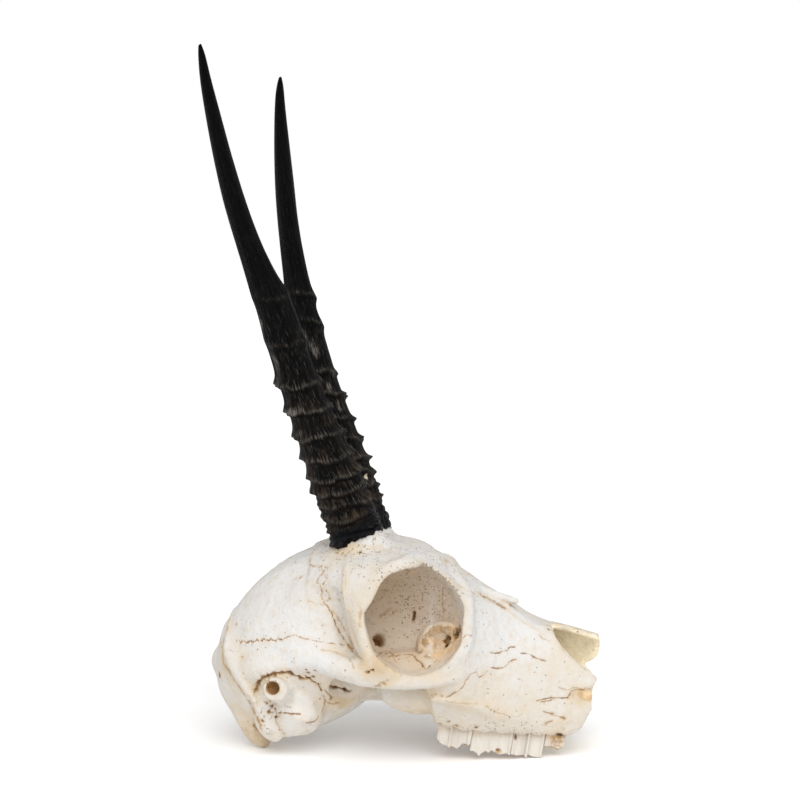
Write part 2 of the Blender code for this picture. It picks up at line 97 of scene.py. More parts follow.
# sections of the face: x, then height and half width from low to high
FACE = (
    (-26.0, ((24.5, 16.0), (27.0, 18.0), (33.0, 20.5), (40.0, 22.0), (47.0, 21.8), (52.0, 19.4), (57.0, 15.2),
             (60.0, 8.0), (60.8, 0.0))),
    (-19.6, ((24.5, 24.0), (27.0, 26.6), (31.5, 25.0), (38.5, 23.6), (46.5, 24.6), (53.5, 24.4), (58.8, 20.0),
             (62.2, 11.2), (63.2, 0.0))),
    (-16.6, ((24.5, 26.2), (27.0, 29.8), (32.2, 27.6), (39.2, 26.8), (47.4, 28.0), (54.6, 26.6), (59.3, 21.4),
             (62.8, 11.8), (63.8, 0.0))),
    (-13.8, ((24.5, 27.8), (27.2, 32.0), (33.4, 32.8), (41.2, 32.6), (50.6, 30.8), (57.0, 27.4), (60.2, 21.6),
             (63.0, 11.6), (63.9, 0.0))),
    (-8.0, ((24.5, 29.0), (27.5, 33.0), (34.0, 34.0), (43.0, 33.6), (52.0, 32.0), (58.0, 29.0), (60.8, 23.0),
            (63.2, 12.0), (63.8, 0.0))),
    (1.0, ((24.6, 28.5), (27.0, 32.8), (34.0, 34.0), (43.2, 33.2), (52.2, 32.2), (58.4, 30.2), (60.5, 24.8),
           (62.0, 12.0), (62.5, 0.0))),
    (5.4, ((22.8, 27.2), (25.6, 31.4), (32.4, 33.2), (41.8, 32.6), (50.6, 31.4), (56.2, 29.0), (58.4, 23.2),
           (59.9, 11.6), (60.4, 0.0))),
    (7.3, ((12.4, 22.2), (17.4, 25.6), (28.2, 31.2), (39.0, 32.0), (48.8, 30.8), (54.6, 28.4), (57.0, 22.4),
           (58.4, 11.2), (58.9, 0.0))),
    (9.5, ((10.5, 21.0), (15.5, 24.5), (25.5, 30.2), (37.0, 31.6), (47.0, 30.4), (52.8, 27.8), (55.4, 21.4),
           (57.0, 11.0), (57.5, 0.0))),
    (16.0, ((9.0, 21.0), (13.8, 24.2), (23.0, 28.8), (33.0, 29.6), (42.0, 28.0), (48.3, 23.5), (51.4, 15.0),
            (52.4, 8.0), (52.8, 0.0))),
    (22.0, ((8.4, 20.5), (12.0, 22.8), (18.0, 25.4), (28.0, 24.6), (37.0, 21.6), (43.5, 16.5), (47.0, 10.0),
            (48.3, 5.5), (48.8, 0.0))),
    (29.0, ((7.8, 19.3), (10.5, 21.0), (15.0, 22.2), (24.0, 20.4), (33.0, 16.5), (39.6, 11.5), (42.6, 8.0),
            (43.9, 5.0), (44.3, 0.0))),
    (37.0, ((7.0, 17.3), (10.0, 18.4), (14.0, 18.6), (22.0, 16.8), (29.5, 13.5), (35.2, 10.5), (38.0, 8.0),
            (38.6, 5.0), (38.8, 0.0))),
    (45.0, ((6.0, 14.3), (9.0, 15.4), (13.0, 15.6), (20.0, 14.3), (26.5, 12.0), (31.5, 10.0), (34.8, 8.2),
            (36.5, 5.0), (37.1, 0.0))),
    (52.0, ((7.5, 11.5), (10.5, 12.6), (13.5, 12.8), (20.0, 12.0), (25.5, 11.0), (29.8, 10.0), (32.8, 8.2),
            (34.6, 5.0), (35.2, 0.0))),
    (59.0, ((11.0, 9.5), (13.0, 10.5), (16.0, 10.8), (20.0, 10.5), (24.5, 10.2), (28.5, 9.6), (31.2, 8.0),
            (32.8, 5.0), (33.4, 0.0))),
)
# where the snout is broken off, in side view: x and z
RIGHT_BREAK = (
    (31.6, 60.0), (31.8, 44.2), (35.2, 41.6), (39.5, 40.4), (41.4, 37.6), (42.9, 34.6), (45.3, 31.0),
    (49.2, 27.6), (53.4, 25.2), (54.9, 22.6), (53.8, 20.4), (53.4, 14.2), (50.5, 8.6), (46.9, 6.0),
    (46.0, -6.0), (75.0, -6.0), (75.0, 60.0),
)
LEFT_BREAK = (
    (55.0, 60.0), (55.4, 34.4), (56.4, 31.8), (56.4, 27.8), (55.4, 25.6), (53.4, 24.2), (52.0, 23.8),
    (52.8, 19.2), (53.4, 14.2), (50.5, 8.6), (46.9, 6.0), (46.0, -6.0), (75.0, -6.0), (75.0, 60.0),
)


def through(points, steps):
    """Catmull-Rom points through rows of numbers, steps to a span."""
    rows = np.asarray(points, float)
    ends = np.vstack((2 * rows[0] - rows[1], rows, 2 * rows[-1] - rows[-2]))
    path = []
    for a, b, c, d in zip(ends, ends[1:], ends[2:], ends[3:]):
        for t in np.arange(steps) / steps:
            square, cube = 2 * a - 5 * b + 4 * c - d, 3 * b - a - 3 * c + d
            path.append(0.5 * (2 * b + (c - a) * t + square * t**2 + cube * t**3))
    return np.array([*path, rows[-1]])


def joined(a, b, reach):
    """Two fields as one, with a fillet of that reach between them."""
    share = np.clip(0.5 + 0.5 * (b - a) / reach, 0.0, 1.0)
    return b + (a - b) * share - reach * share * (1.0 - share)


def cut(a, b, reach):
    """The first field with the second taken out, its edge rounded by that reach."""
    return -joined(-a, b, reach)


def egg(p, centre, radii, pitch=0.0, yaw=0.0):
    """Distance from a stretched ball: a positive pitch lifts its front, a positive yaw turns it outward."""
    c, s = math.cos(math.radians(pitch)), math.sin(math.radians(pitch))
    lift = np.array(((c, 0.0, -s), (0.0, 1.0, 0.0), (s, 0.0, c)))
    c, s = math.cos(math.radians(yaw)), math.sin(math.radians(yaw))
    turn = np.array(((c, -s, 0.0), (s, c, 0.0), (0.0, 0.0, 1.0))) @ lift
    local = (p - np.array(centre)) @ turn / np.array(radii)
    near = np.sqrt((local**2).sum(1))
    steep = np.sqrt(((local / np.array(radii)) ** 2).sum(1)) + 1e-6
    return near * (near - 1.0) / steep


def limb(p, points, radii):
    """Distance from a round bar that tapers from point to point."""
    best = None
    for a, b, first, last in zip(points, points[1:], radii, radii[1:]):
        a, b = np.asarray(a, float), np.asarray(b, float)
        along = b - a
        share = np.clip((p - a) @ along / (along @ along), 0.0, 1.0)
        away = np.sqrt(((p - a - share[:, None] * along) ** 2).sum(1)) - (first + (last - first) * share)
        best = away if best is None else np.minimum(best, away)
    return best


def outline_field(x, z, outline):
    """Distance from a flat outline, negative inside it."""
    far = np.full(len(x), 1e9)
    inside = np.zeros(len(x), bool)
    for (ax, az), (bx, bz) in zip(outline, outline[1:] + outline[:1]):
        ex, ez = bx - ax, bz - az
        share = np.clip(((x - ax) * ex + (z - az) * ez) / (ex * ex + ez * ez), 0.0, 1.0)
        far = np.minimum(far, (x - ax - share * ex) ** 2 + (z - az - share * ez) ** 2)
        crosses = (az > z) != (bz > z)
        inside ^= crosses & (x < ex * (z - az) / (ez if ez else 1e-9) + ax)
    return np.sqrt(far) * np.where(inside, -1.0, 1.0)


def waves(p, length, seed, count=10):
    """Soft seeded unevenness between about -1 and 1, its lumps that many millimetres apart."""
    rng = np.random.default_rng(seed)
    total = np.zeros(len(p))
    for _ in range(count):
        way = rng.normal(size=3)
        way *= (2 * math.pi / length) * rng.uniform(0.6, 1.5) / np.linalg.norm(way)
        total += np.sin(p @ way + rng.uniform(0, 2 * math.pi))
    return total / math.sqrt(count) / 1.4


def swell(value, middle, reach):
    """A soft hump of height 1 round one place along an axis."""
    return np.exp(-(((value - middle) / reach) ** 2))


# half widths of the face on a grid of x and z, with their slopes
STEP_X, STEP_Z = 0.5, 0.25
FACE_X = np.arange(-26.0, 59.01, STEP_X)
FACE_Z = np.arange(-4.0, 70.01, STEP_Z)
face_rows = []
for number in range(len(FACE[0][1])):
    row = through([(x, *rows[number]) for x, rows in FACE], 12)
    face_rows.append((np.interp(FACE_X, row[:, 0], row[:, 1]), np.interp(FACE_X, row[:, 0], row[:, 2])))
# the edge over the teeth, scalloped between their roots and broken over the foremost
face_floor = face_rows[0][0] + 1.6 * swell(FACE_X, 43.8, 1.7)
for place in (13.4, 18.6, 24.6, 30.5, 35.3, 40.0):
    face_floor = face_floor + 0.8 * swell(FACE_X, place, 1.2)
face_width = np.zeros((len(FACE_X), len(FACE_Z)))
for number in range(len(FACE_X)):
    curve = through([(z[number], w[number]) for z, w in face_rows], 6)
    heights = np.maximum.accumulate(curve[:, 0])
    top = heights[-1]
    face_width[number] = np.interp(FACE_Z, heights, curve[:, 1]) - np.maximum(FACE_Z - top, 0.0) * 7.0
face_steep = np.sqrt(1.0 + sum(g**2 for g in np.gradient(face_width, STEP_X, STEP_Z)))
face_tilt = np.sqrt(1.0 + np.gradient(face_floor, STEP_X) ** 2)


def read(table, x, z):
    """A value between the points of a face table."""
    u = np.clip((x - FACE_X[0]) / STEP_X, 0, len(FACE_X) - 1.001)
    v = np.clip((z - FACE_Z[0]) / STEP_Z, 0, len(FACE_Z) - 1.001)
    i, j = u.astype(int), v.astype(int)
    u, v = u - i, v - j
    low = table[i, j] * (1 - v) + table[i, j + 1] * v
    high = table[i + 1, j] * (1 - v) + table[i + 1, j + 1] * v
    return low * (1 - u) + high * u


def leant(x, z):
    """The back edge of the bar behind the orbit leans back toward its top."""
    return x + 0.30 * np.clip(z - 40.0, -7.0, 12.0) * np.clip((-7.0 - x) / 5.0, 0.0, 1.0)


def face_field(p):
    """Distance from the face, first from its sides and top alone."""
    x, y, z = p.T
    x = leant(x, z)
    side = (np.abs(y) - read(face_width, x, z)) / read(face_steep, x, z)
    floor = (np.interp(x, FACE_X, face_floor) - z) / np.interp(x, FACE_X, face_tilt)
    whole = -joined(-side, -floor, 1.6)
    return side, np.maximum(np.maximum(whole, -26.0 - x), x - 60.0)


def horn_point(side, share):
    """A point on the middle line of a horn, by its share of the way from base to tip."""
    bow = 4 * share * (1 - share)
    base = HORN_BASE * (1, side, 1)
    bent = np.array((-HORN_BACK_BOW[side] * bow, -side * HORN_IN_BOW * bow, 0.0))
    return base + (HORN_TIP[side] - base) * share + bent


def horn_way(side, share):
    way = horn_point(side, share + 0.002) - horn_point(side, share - 0.002)
    return way / np.linalg.norm(way)


# mouth of the orbit in side view: x and z
MOUTH = through(
    (
        (-12.1, 46.4), (-10.8, 48.4), (-9.6, 50.2), (-7.3, 54.9), (-5.1, 57.2), (-1.7, 58.6),
        (1.2, 59.1), (7.7, 58.0), (9.7, 56.6), (11.6, 54.4), (15.3, 49.8), (16.2, 47.4), (16.1, 43.0),
        (15.9, 38.8), (15.2, 36.4), (11.1, 31.2), (7.4, 29.2), (3.4, 28.3), (-0.5, 28.9), (-3.9, 30.6),
        (-8.5, 34.3), (-9.9, 36.6), (-11.8, 43.3), (-12.1, 46.4),
    ),
    3,
) - (0.0, 0.8)
mouth_grid = np.stack(np.meshgrid(FACE_X, FACE_Z, indexing="ij"), -1).reshape(-1, 2)
mouth_side = outline_field(*mouth_grid.T, [tuple(spot) for spot in MOUTH[:-1]])
mouth_side = mouth_side.reshape(face_width.shape) + 0.15
mouth_middle = MOUTH.mean(0)
rim = MOUTH + (MOUTH - mouth_middle) / np.linalg.norm(MOUTH - mouth_middle, axis=1)[:, None] * 1.3
rim_y = read(face_width, rim[:-1, 0], rim[:-1, 1]) - 1.5
for _ in range(8):
    rim_y = (np.roll(rim_y, 1) + 2 * rim_y + np.roll(rim_y, -1)) / 4
ORBIT_RIM = np.stack((rim[:, 0], np.append(rim_y, rim_y[0]), rim[:, 1]), 1)
# back edge of the bar behind the orbit, and the hollow behind that: x and z
bar = through([(-17.1, 60.6), (-17.6, 55.5), (-17.5, 51.1), (-16.7, 46.3), (-15.9, 40.6), (-14.0, 35.6),
               (-11.6, 32.4)], 2)
hollow = through([(-21.5, 50.0), (-20.0, 43.5), (-18.3, 38.5), (-16.0, 34.4)], 2)
BAR_EDGE, BEHIND_BAR = (
    np.stack((x, read(face_width, leant(x, z), z) + out, z), 1)
    for (x, z), out in ((bar.T, -0.50), (hollow.T, 1.0))
)
CHEEK_CANAL = ((60.0, 11.4, 18.8), (52.0, 12.7, 19.0), (47.0, 14.9, 19.7))
DUCT = ((10.0, 26.2, 36.6), (7.6, 6.6, 5.0))
ARCH = through([(-36, 21, 28.4), (-28, 24.4, 30.4), (-21, 27.4, 29.2), (-14, 29.4, 28.2), (-7, 30.0, 29)], 3)
CHEEK_CREST = through([(-13, 30.3, 26.0), (-4, 32.0, 25.2), (4, 31.8, 25.4), (10, 30.6, 25.6),
                       (15, 29.0, 27.6)], 3)
FACE_CREST = through([(8, 29.2, 20.6), (14, 27.0, 19.4), (21, 24.6, 17.2), (28, 21.3, 14.4),
                      (33, 19.2, 13.2)], 3)
EAR_HOLE = ((-39.6, 32.0, 23.0), (-38.8, 24.6, 22.1))
NUCHAL_CREST = through([(-54.0, 0, 40.0), (-54.3, 6, 38.2), (-54.4, 11, 35.2), (-54.5, 14.5, 32.2),
                        (-53.9, 16.6, 29.2), (-52.2, 18.2, 26.6), (-49.6, 19.6, 23.4), (-47.2, 20.5, 20.4),
                        (-45.4, 20.7, 17.2), (-44.0, 20.2, 13.6)], 2)


def eased(value, low, high):
    """A soft step from 0 to 1 between two values."""
    share = np.clip((value - low) / (high - low), 0.0, 1.0)
    return share * share * (3.0 - 2.0 * share)


def leaning(p):
    """The left brow lies a little lower than the right one, and the forehead dips over the nose."""
    x, y, z = p.T
    drop = 2.4 * eased(y, 0.0, 16.0) + 0.06 * np.clip(y - 14.0, 0.0, 22.0)
    drop = drop * eased(x, -14.0, 2.0) + 1.0 * eased(y, 2.0, 16.0) * swell(x, 11.5, 6.5)
    middle_dip = 1.3 * swell(x, 9.3, 2.5) * (1.0 - eased(-y, 1.0, 14.0)) * (1.0 - 0.6 * eased(y, 12.0, 20.0))
    left_dip = 1.2 * swell(x, 16.2, 2.2) * eased(y, 5.0, 12.0) * (1.0 - eased(y, 20.0, 27.0))
    drop = drop + middle_dip + left_dip
    return np.stack((x, y, z + drop * eased(z, 42.0, 55.0)), 1)


def whole_bone(p):
    """The bone before anything is hollowed out of it, and the sides of its face."""
    x, y, z = p.T
    q = np.stack((x, np.abs(y), z), 1)
    # braincase, leaning nuchal plate and the knob on it
    bone = egg(p, (-29.0, 0.0, 32.7), (35.0, 24.0, 24.5), pitch=40.0)
    bone = joined(bone, egg(p, (-48.6, 0.0, 22.0), (4.2, 21.2, 15.6), pitch=26.0), 3.4)
    bone = joined(bone, egg(p, (-55.2, 0.0, 24.6), (6.3, 6.6, 5.6), pitch=-6.0), 1.6)
    bone = joined(bone, limb(q, NUCHAL_CREST, np.full(len(NUCHAL_CREST), 0.9)), 1.0)
    # wall and root of the cheek arch, drawn out beside the braincase
    bone = joined(bone, egg(q, (-24.5, 16.6, 37.5), (13.0, 7.8, 16.5)), 4.0)
    bone = joined(bone, egg(q, (-25.5, 19.6, 31.8), (13.0, 6.6, 7.4), pitch=-6.0), 3.5)
    # base of the skull, the wall between the orbits, plates beside the palate and swellings behind the molars
    base = [(-42, 0, 13), (-32, 0, 15), (-25, 0, 17.4), (-18, 0, 19.2), (-4, 0, 21)]
    bone = joined(bone, limb(p, base, (6.0, 4.2, 3.8, 3.8, 6.0)), 2.0)
    bone = joined(bone, egg(q, (-23.6, 11.6, 16.8), (4.4, 3.4, 3.3)) - 0.3 * waves(p, 3.0, 22), 0.7)
    bone = joined(bone, egg(p, (-4.0, 0.0, 37.0), (24.0, 10.5, 20.0)), 2.0)
    bone = joined(bone, egg(q, (-11.0, 8.0, 20.5), (14.0, 2.0, 5.6), pitch=-2.0), 1.2)
    bone = joined(bone, egg(q, (1.2, 16.6, 20.6), (11.6, 7.6, 7.3), pitch=-9.0), 2.0)
    face_side, face = face_field(p)
    bone = joined(bone, face, 1.6)
    # condyle, process and the swelling over the ear
    bone = joined(bone, egg(q, (-48.7, 8.0, 10.5), (11.4, 4.6, 4.8), pitch=-64.0, yaw=6.0), 1.4)
    process = egg(q, (-41.8, 18.0, 12.4), (4.6, 3.3, 7.8), pitch=16.0)
    bone = joined(bone, process, 0.8)
    bone = joined(bone, limb(q, [(-41.4, 18.2, 9.5), (-39.5, 17.8, 6.4)], (2.9, 2.1)), 0.8)
    bone = joined(bone, egg(q, (-37.5, 19.5, 26.5), (11.5, 5.0, 6.0)), 2.0)
    # ear swelling and ear tube
    bulla = egg(q, (-33.0, 17.0, 15.4), (7.6, 6.4, 9.4), pitch=12.0) - 0.5 * waves(p, 6.0, 21)
    bulla = joined(bulla, egg(q, (-29.6, 16.8, 13.6), (4.4, 4.8, 5.0)), 0.8)
    bulla = joined(bulla, egg(q, (-36.2, 17.0, 10.4), (4.2, 4.0, 4.8)), 0.8)
    bone = joined(bone, bulla, 0.7)
    tube = limb(q, [(-35.5, 17.5, 19.6), (-39.2, 29.5, 22.7)], (4.9, 3.0))
    bone = joined(bone, cut(tube, 27.6 - q[:, 1], 0.5), 0.7)
    bone = joined(bone, limb(q, ARCH, np.linspace(2.9, 3.8, len(ARCH))), 2.4)
    bone = joined(bone, limb(q, CHEEK_CREST, np.linspace(1.7, 1.0, len(CHEEK_CREST))), 1.6)
    bone = joined(bone, limb(q, FACE_CREST, np.linspace(0.9, 0.9, len(FACE_CREST))), 1.8)
    # foot of each horn
    for side in (-1, 1):
        foot = HORN_BASE * (1, side, 1)
        start, way = horn_point(side, 0.0), horn_way(side, 0.0)
        stem = [foot + (4.5, -0.6 * side, -15.0), foot + (1.6, -0.3 * side, -5.0), start, start + way * 4.0]
        stem = limb(p, stem, (10.5, 8.8, 7.2, 6.8) if side < 0 else (9.6, 8.2, 7.0, 6.6))
        rise = 2.6 if side < 0 else 0.4 - 0.30 * (x - start[0])
        bone = joined(bone, np.maximum(stem, (p - start) @ way - rise), 1.6)
    # broken tip of the right nasal bone
    splinter = limb(p, [(19.0, -5.0, 48.2), (26.0, -5.4, 46.3), (31.4, -5.6, 44.9)], (1.9, 1.4, 0.8))
    bone = joined(bone, splinter, 0.6)
    bone = joined(bone, limb(q, ORBIT_RIM, np.full(len(ORBIT_RIM), 1.35)), 2.2)
    bone = joined(bone, limb(q, BAR_EDGE, np.full(len(BAR_EDGE), 0.9)), 0.7)
    return bone + 0.10 * waves(p, 9.0, 3) + 0.05 * waves(p, 3.4, 4), face_side


def bone_field(p):
    """Distance in millimetres from the skin of the bone, negative inside it."""
    p = leaning(p)
    x, y, z = p.T
    q = np.stack((x, np.abs(y), z), 1)
    bone, face_side = whole_bone(p)
    bone = cut(bone, limb(q, BEHIND_BAR, np.linspace(1.9, 2.2, len(BEHIND_BAR))), 1.0)
    # orbits, the ways out behind the bar, and the broken swelling over the tear duct
    bowl = egg(q, (2.4, 33.0, 44.6), (19.0, 14.5, 18.0))
    socket = -joined(-read(mouth_side, x, z), -bowl, 2.0)
    chamber = egg(q, (-1.0, 21.5, 43.6), (16.0, 10.4, 15.0), yaw=4.0)
    chamber = -joined(-chamber, -(32.2 + 0.10 * (x + 1.0) - z), 1.4)
    socket = joined(socket, chamber, 3.0)
    way_out = limb(q, [(-6, 21, 43), (-13.5, 20.5, 39.0), (-16.5, 21, 32), (-16, 21.5, 26), (-15, 22, 12)],
                   (4.0, 2.2, 2.4, 4.0, 6.0))
    bone = cut(bone, joined(socket, way_out, 1.0), 0.8)
    bone = joined(bone, limb(q, ORBIT_RIM, np.full(len(ORBIT_RIM), 1.15)), 0.8)
    swelling = egg(q, (9.4, 19.6, 34.8), (7.4, 6.0, 6.2), pitch=16.0)
    rough = 0.9 * waves(p, 3.4, 31) + 0.3 * waves(p, 1.7, 32)
    swelling = cut(swelling, egg(q, *DUCT, pitch=14.0) - 1.5 * rough, 0.3)
    bone = joined(bone, swelling, 0.5)
    bone = cut(bone, egg(q, (14.0, 25.0, 39.0), (1.4, 2.6, 2.8), pitch=30.0) - 0.4 * rough, 0.25)
    bone = cut(bone, egg(q, (11.6, 22.5, 36.6), (1.1, 3.4, 1.5), pitch=30.0) - 0.3 * rough, 0.25)
    # the undercut below the knob of the nape
    bone = cut(bone, egg(p, (-60.8, 0.0, 19.2), (3.0, 4.6, 2.0), pitch=20.0), 0.5)
    # roof of the mouth, its way to the nose and the spaces inside the arches
    bone = cut(bone, egg(p, (30.0, 0.0, 2.0), (36.0, 11.0, 11.5)), 1.0)
    bone = cut(bone, egg(p, (-3.0, 0.0, 13.5), (16.0, 5.6, 7.5)), 1.0)
    bone = cut(bone, egg(q, (-15.6, 20.0, 18.0), (7.6, 5.6, 12.0), pitch=10.0), 1.0)
    # nose, open at the broken snout
    wall = NOSE_WALL + 0.8 * eased(z, 28.0, 36.0) + 1.2 * swell(z, 19.0, 3.5) * eased(x, 42.0, 48.0)
    nose = np.maximum(np.maximum(face_side + wall, NOSE_FLOOR - z), 20.5 - x)
    nose = np.maximum(nose, z - np.interp(x, FACE_X, face_rows[-1][0]) + 2.2)
    bone = cut(bone, nose, 0.6)
    ridge = limb(p, [(21.0, 0.0, 17.6), (36.0, 0.0, 17.3), (43.0, 0.0, 16.4)], (1.5, 1.1, 0.5))
    bone = joined(bone, ridge, 1.6)
    # neck hole and ear holes
    bone = cut(bone, limb(p, [(-62, 0, 11), (-52, 0, 14.5), (-43, 0, 19)], (5.6, 6.0, 6.4)), 1.0)
    bone = cut(bone, limb(q, EAR_HOLE, (2.15, 1.9)), 0.3)
    # the broken canal of the nerve at the front of the cheek
    bone = cut(bone, limb(q, CHEEK_CANAL, (2.3, 1.9, 0.7)) + 0.3 * rough, 0.25)
    # broken ends, ragged on a small scale
    ragged = np.stack((x * 0.3, y, z), 1)
    jag = 0.30 * waves(ragged, 3.2, 8) + 0.10 * waves(ragged, 1.6, 9)
    jag = jag * np.clip((36.0 - z) / 8.0, 0.15, 1.0)
    right_end = np.maximum(outline_field(x + jag, z + 0.5 * jag, RIGHT_BREAK), y - 0.8)
    left_end = np.maximum(outline_field(x + jag, z - 0.5 * jag, LEFT_BREAK), 0.7 - y)
    bone = cut(bone, np.minimum(right_end, left_end), 0.25)
    return np.maximum(bone, -z)


def draw_skin(field, axes):
    """Surface nets: one point for each cell that the skin crosses, joined in triangles."""
    shape = np.array(field.shape)
    total = np.zeros((*(shape - 1), 3))
    hits = np.zeros(shape - 1, int)
    crossings = []
    for axis in range(3):
        first = np.moveaxis(field, axis, 0)[:-1]
        last = np.moveaxis(field, axis, 0)[1:]
        crossed = (first < 0) != (last < 0)
        share = np.where(crossed, first / np.where(crossed, first - last, 1.0), 0.0)
        crossings.append((crossed, first < 0))
        others = [a for a in range(3) if a != axis]
        for du in (0, 1):
            for dv in (0, 1):
                rows = slice(du, shape[others[0]] - 1 + du)
                columns = slice(dv, shape[others[1]] - 1 + dv)
                here = np.moveaxis(crossed[:, rows, columns], 0, axis)
                total[..., axis] += np.moveaxis(share[:, rows, columns], 0, axis)
                total[..., others[0]] += here * du
                total[..., others[1]] += here * dv
                hits += here
    used = hits > 0
    index = np.full(hits.shape, -1)
    index[used] = np.arange(used.sum())
    cell, share = np.argwhere(used), total[used] / hits[used][:, None]
    points = np.stack([axes[a][cell[:, a]] + share[:, a] * np.diff(axes[a])[cell[:, a]] for a in range(3)], 1)
    triangles = []
    for axis, (crossed, inside) in enumerate(crossings):
        others = [a for a in range(3) if a != axis]
        a, u, v = np.nonzero(crossed)
        keep = (u > 0) & (v > 0) & (u < shape[others[0]] - 1) & (v < shape[others[1]] - 1)
        a, u, v = a[keep], u[keep], v[keep]
        cells = np.moveaxis(index, axis, 0)
        quad = np.stack((cells[a, u - 1, v - 1], cells[a, u, v - 1], cells[a, u, v], cells[a, u - 1, v]), 1)
        flip = inside[a, u, v] == (axis == 1)
        quad[flip] = quad[flip][:, ::-1]
        one_way = ((points[quad[:, 0]] - points[quad[:, 2]]) ** 2).sum(1)
        other_way = ((points[quad[:, 1]] - points[quad[:, 3]]) ** 2).sum(1)
        far = one_way > other_way
        quad[far] = np.roll(quad[far], -1, axis=1)
        triangles += [quad[:, [0, 1, 2]], quad[:, [0, 2, 3]]]
    return points, np.vstack(triangles)


def only_largest(points, triangles):
    """The largest closed skin alone, without the bubbles that forms leave inside it."""
    label = np.arange(len(points))
    while True:
        low = label[triangles].min(1)
        spread = label.copy()
        for corner in range(3):
            np.minimum.at(spread, triangles[:, corner], low)
        spread = spread[spread]
        if (spread == label).all():
            break
        label = spread
    biggest = np.bincount(label[triangles[:, 0]]).argmax()
    triangles = triangles[label[triangles[:, 0]] == biggest]
    used = np.unique(triangles)
    index = np.zeros(len(points), int)
    index[used] = np.arange(len(used))
    return points[used], index[triangles]


def slope(field, p, step=0.06):
    """Which way a field rises at each point."""
    ground = field(p)
    here = np.stack([field(p + step * np.eye(3)[a]) - ground for a in range(3)], 1)
    return here / (np.linalg.norm(here, axis=1)[:, None] + 1e-9)


def settle(field, p, rounds=2, most=0.5):
    """Moves points onto the skin of a field."""
    for _ in range(rounds):
        p = p - slope(field, p) * np.clip(field(p), -most, most)[:, None]
    return p


def finer(points, triangles, chosen):
    """Halves the edges of the chosen triangles, with matching cuts in their neighbours."""
    pairs = np.sort(triangles[:, [[0, 1], [1, 2], [2, 0]]].reshape(-1, 2), axis=1)
    keys, back = np.unique(pairs[:, 0] * len(points) + pairs[:, 1], return_inverse=True)
    back = back.reshape(-1, 3)
    halved = np.zeros(len(keys), bool)
    halved[back[chosen].ravel()] = True
    middle = np.full(len(keys), -1)
    middle[halved] = len(points) + np.arange(halved.sum())
    ends = np.stack((keys[halved] // len(points), keys[halved] % len(points)), 1)
    points = np.vstack((points, points[ends].mean(1)))
    m = middle[back]
    count = (m >= 0).sum(1)
    out = [triangles[count == 0]]
    t, h = triangles[count == 3], m[count == 3]
    for a, b, c in ((t[:, 0], h[:, 0], h[:, 2]), (h[:, 0], t[:, 1], h[:, 1]), (h[:, 2], h[:, 1], t[:, 2]),
                    (h[:, 0], h[:, 1], h[:, 2])):
        out.append(np.stack((a, b, c), 1))
    for k in range(3):
        i, j = (k + 1) % 3, (k + 2) % 3
        one = (count == 1) & (m[:, k] >= 0)
        t, h = triangles[one], m[one]
        out += [np.stack((t[:, k], h[:, k], t[:, j]), 1), np.stack((h[:, k], t[:, i], t[:, j]), 1)]
        two = (count == 2) & (m[:, k] < 0)
        t, h = triangles[two], m[two]
        out += [np.stack((t[:, k], t[:, i], h[:, i]), 1), np.stack((t[:, k], h[:, i], h[:, j]), 1),
                np.stack((h[:, j], h[:, i], t[:, j]), 1)]
    return points, np.vstack(out)


def in_steps(*spans):
    """Places along an axis: spans of from, to and step."""
    return np.concatenate([np.arange(first, last - 1e-6, step) for first, last, step in spans])


def filled(axes, field):
    grid = np.stack(np.meshgrid(*axes, indexing="ij"), -1)
    return field(grid.reshape(-1, 3)).reshape(grid.shape[:3])


# finer steps by the ear, low down and on the side in the view
bone_axes = (
    in_steps((-64.5, -47, 1.2), (-47, -27, 0.92), (-27, 61.6, 1.13)),
    in_steps((-38.5, -6, 0.98), (-6, 39, 1.22)),
    in_steps((-1.5, 31, 0.98), (31, 75, 1.17)),
)
points, triangles = only_largest(*draw_skin(filled(bone_axes, bone_field), bone_axes))
points = settle(bone_field, points, 3)
rough_skin = BVHTree.FromPolygons(points.tolist(), triangles.tolist())

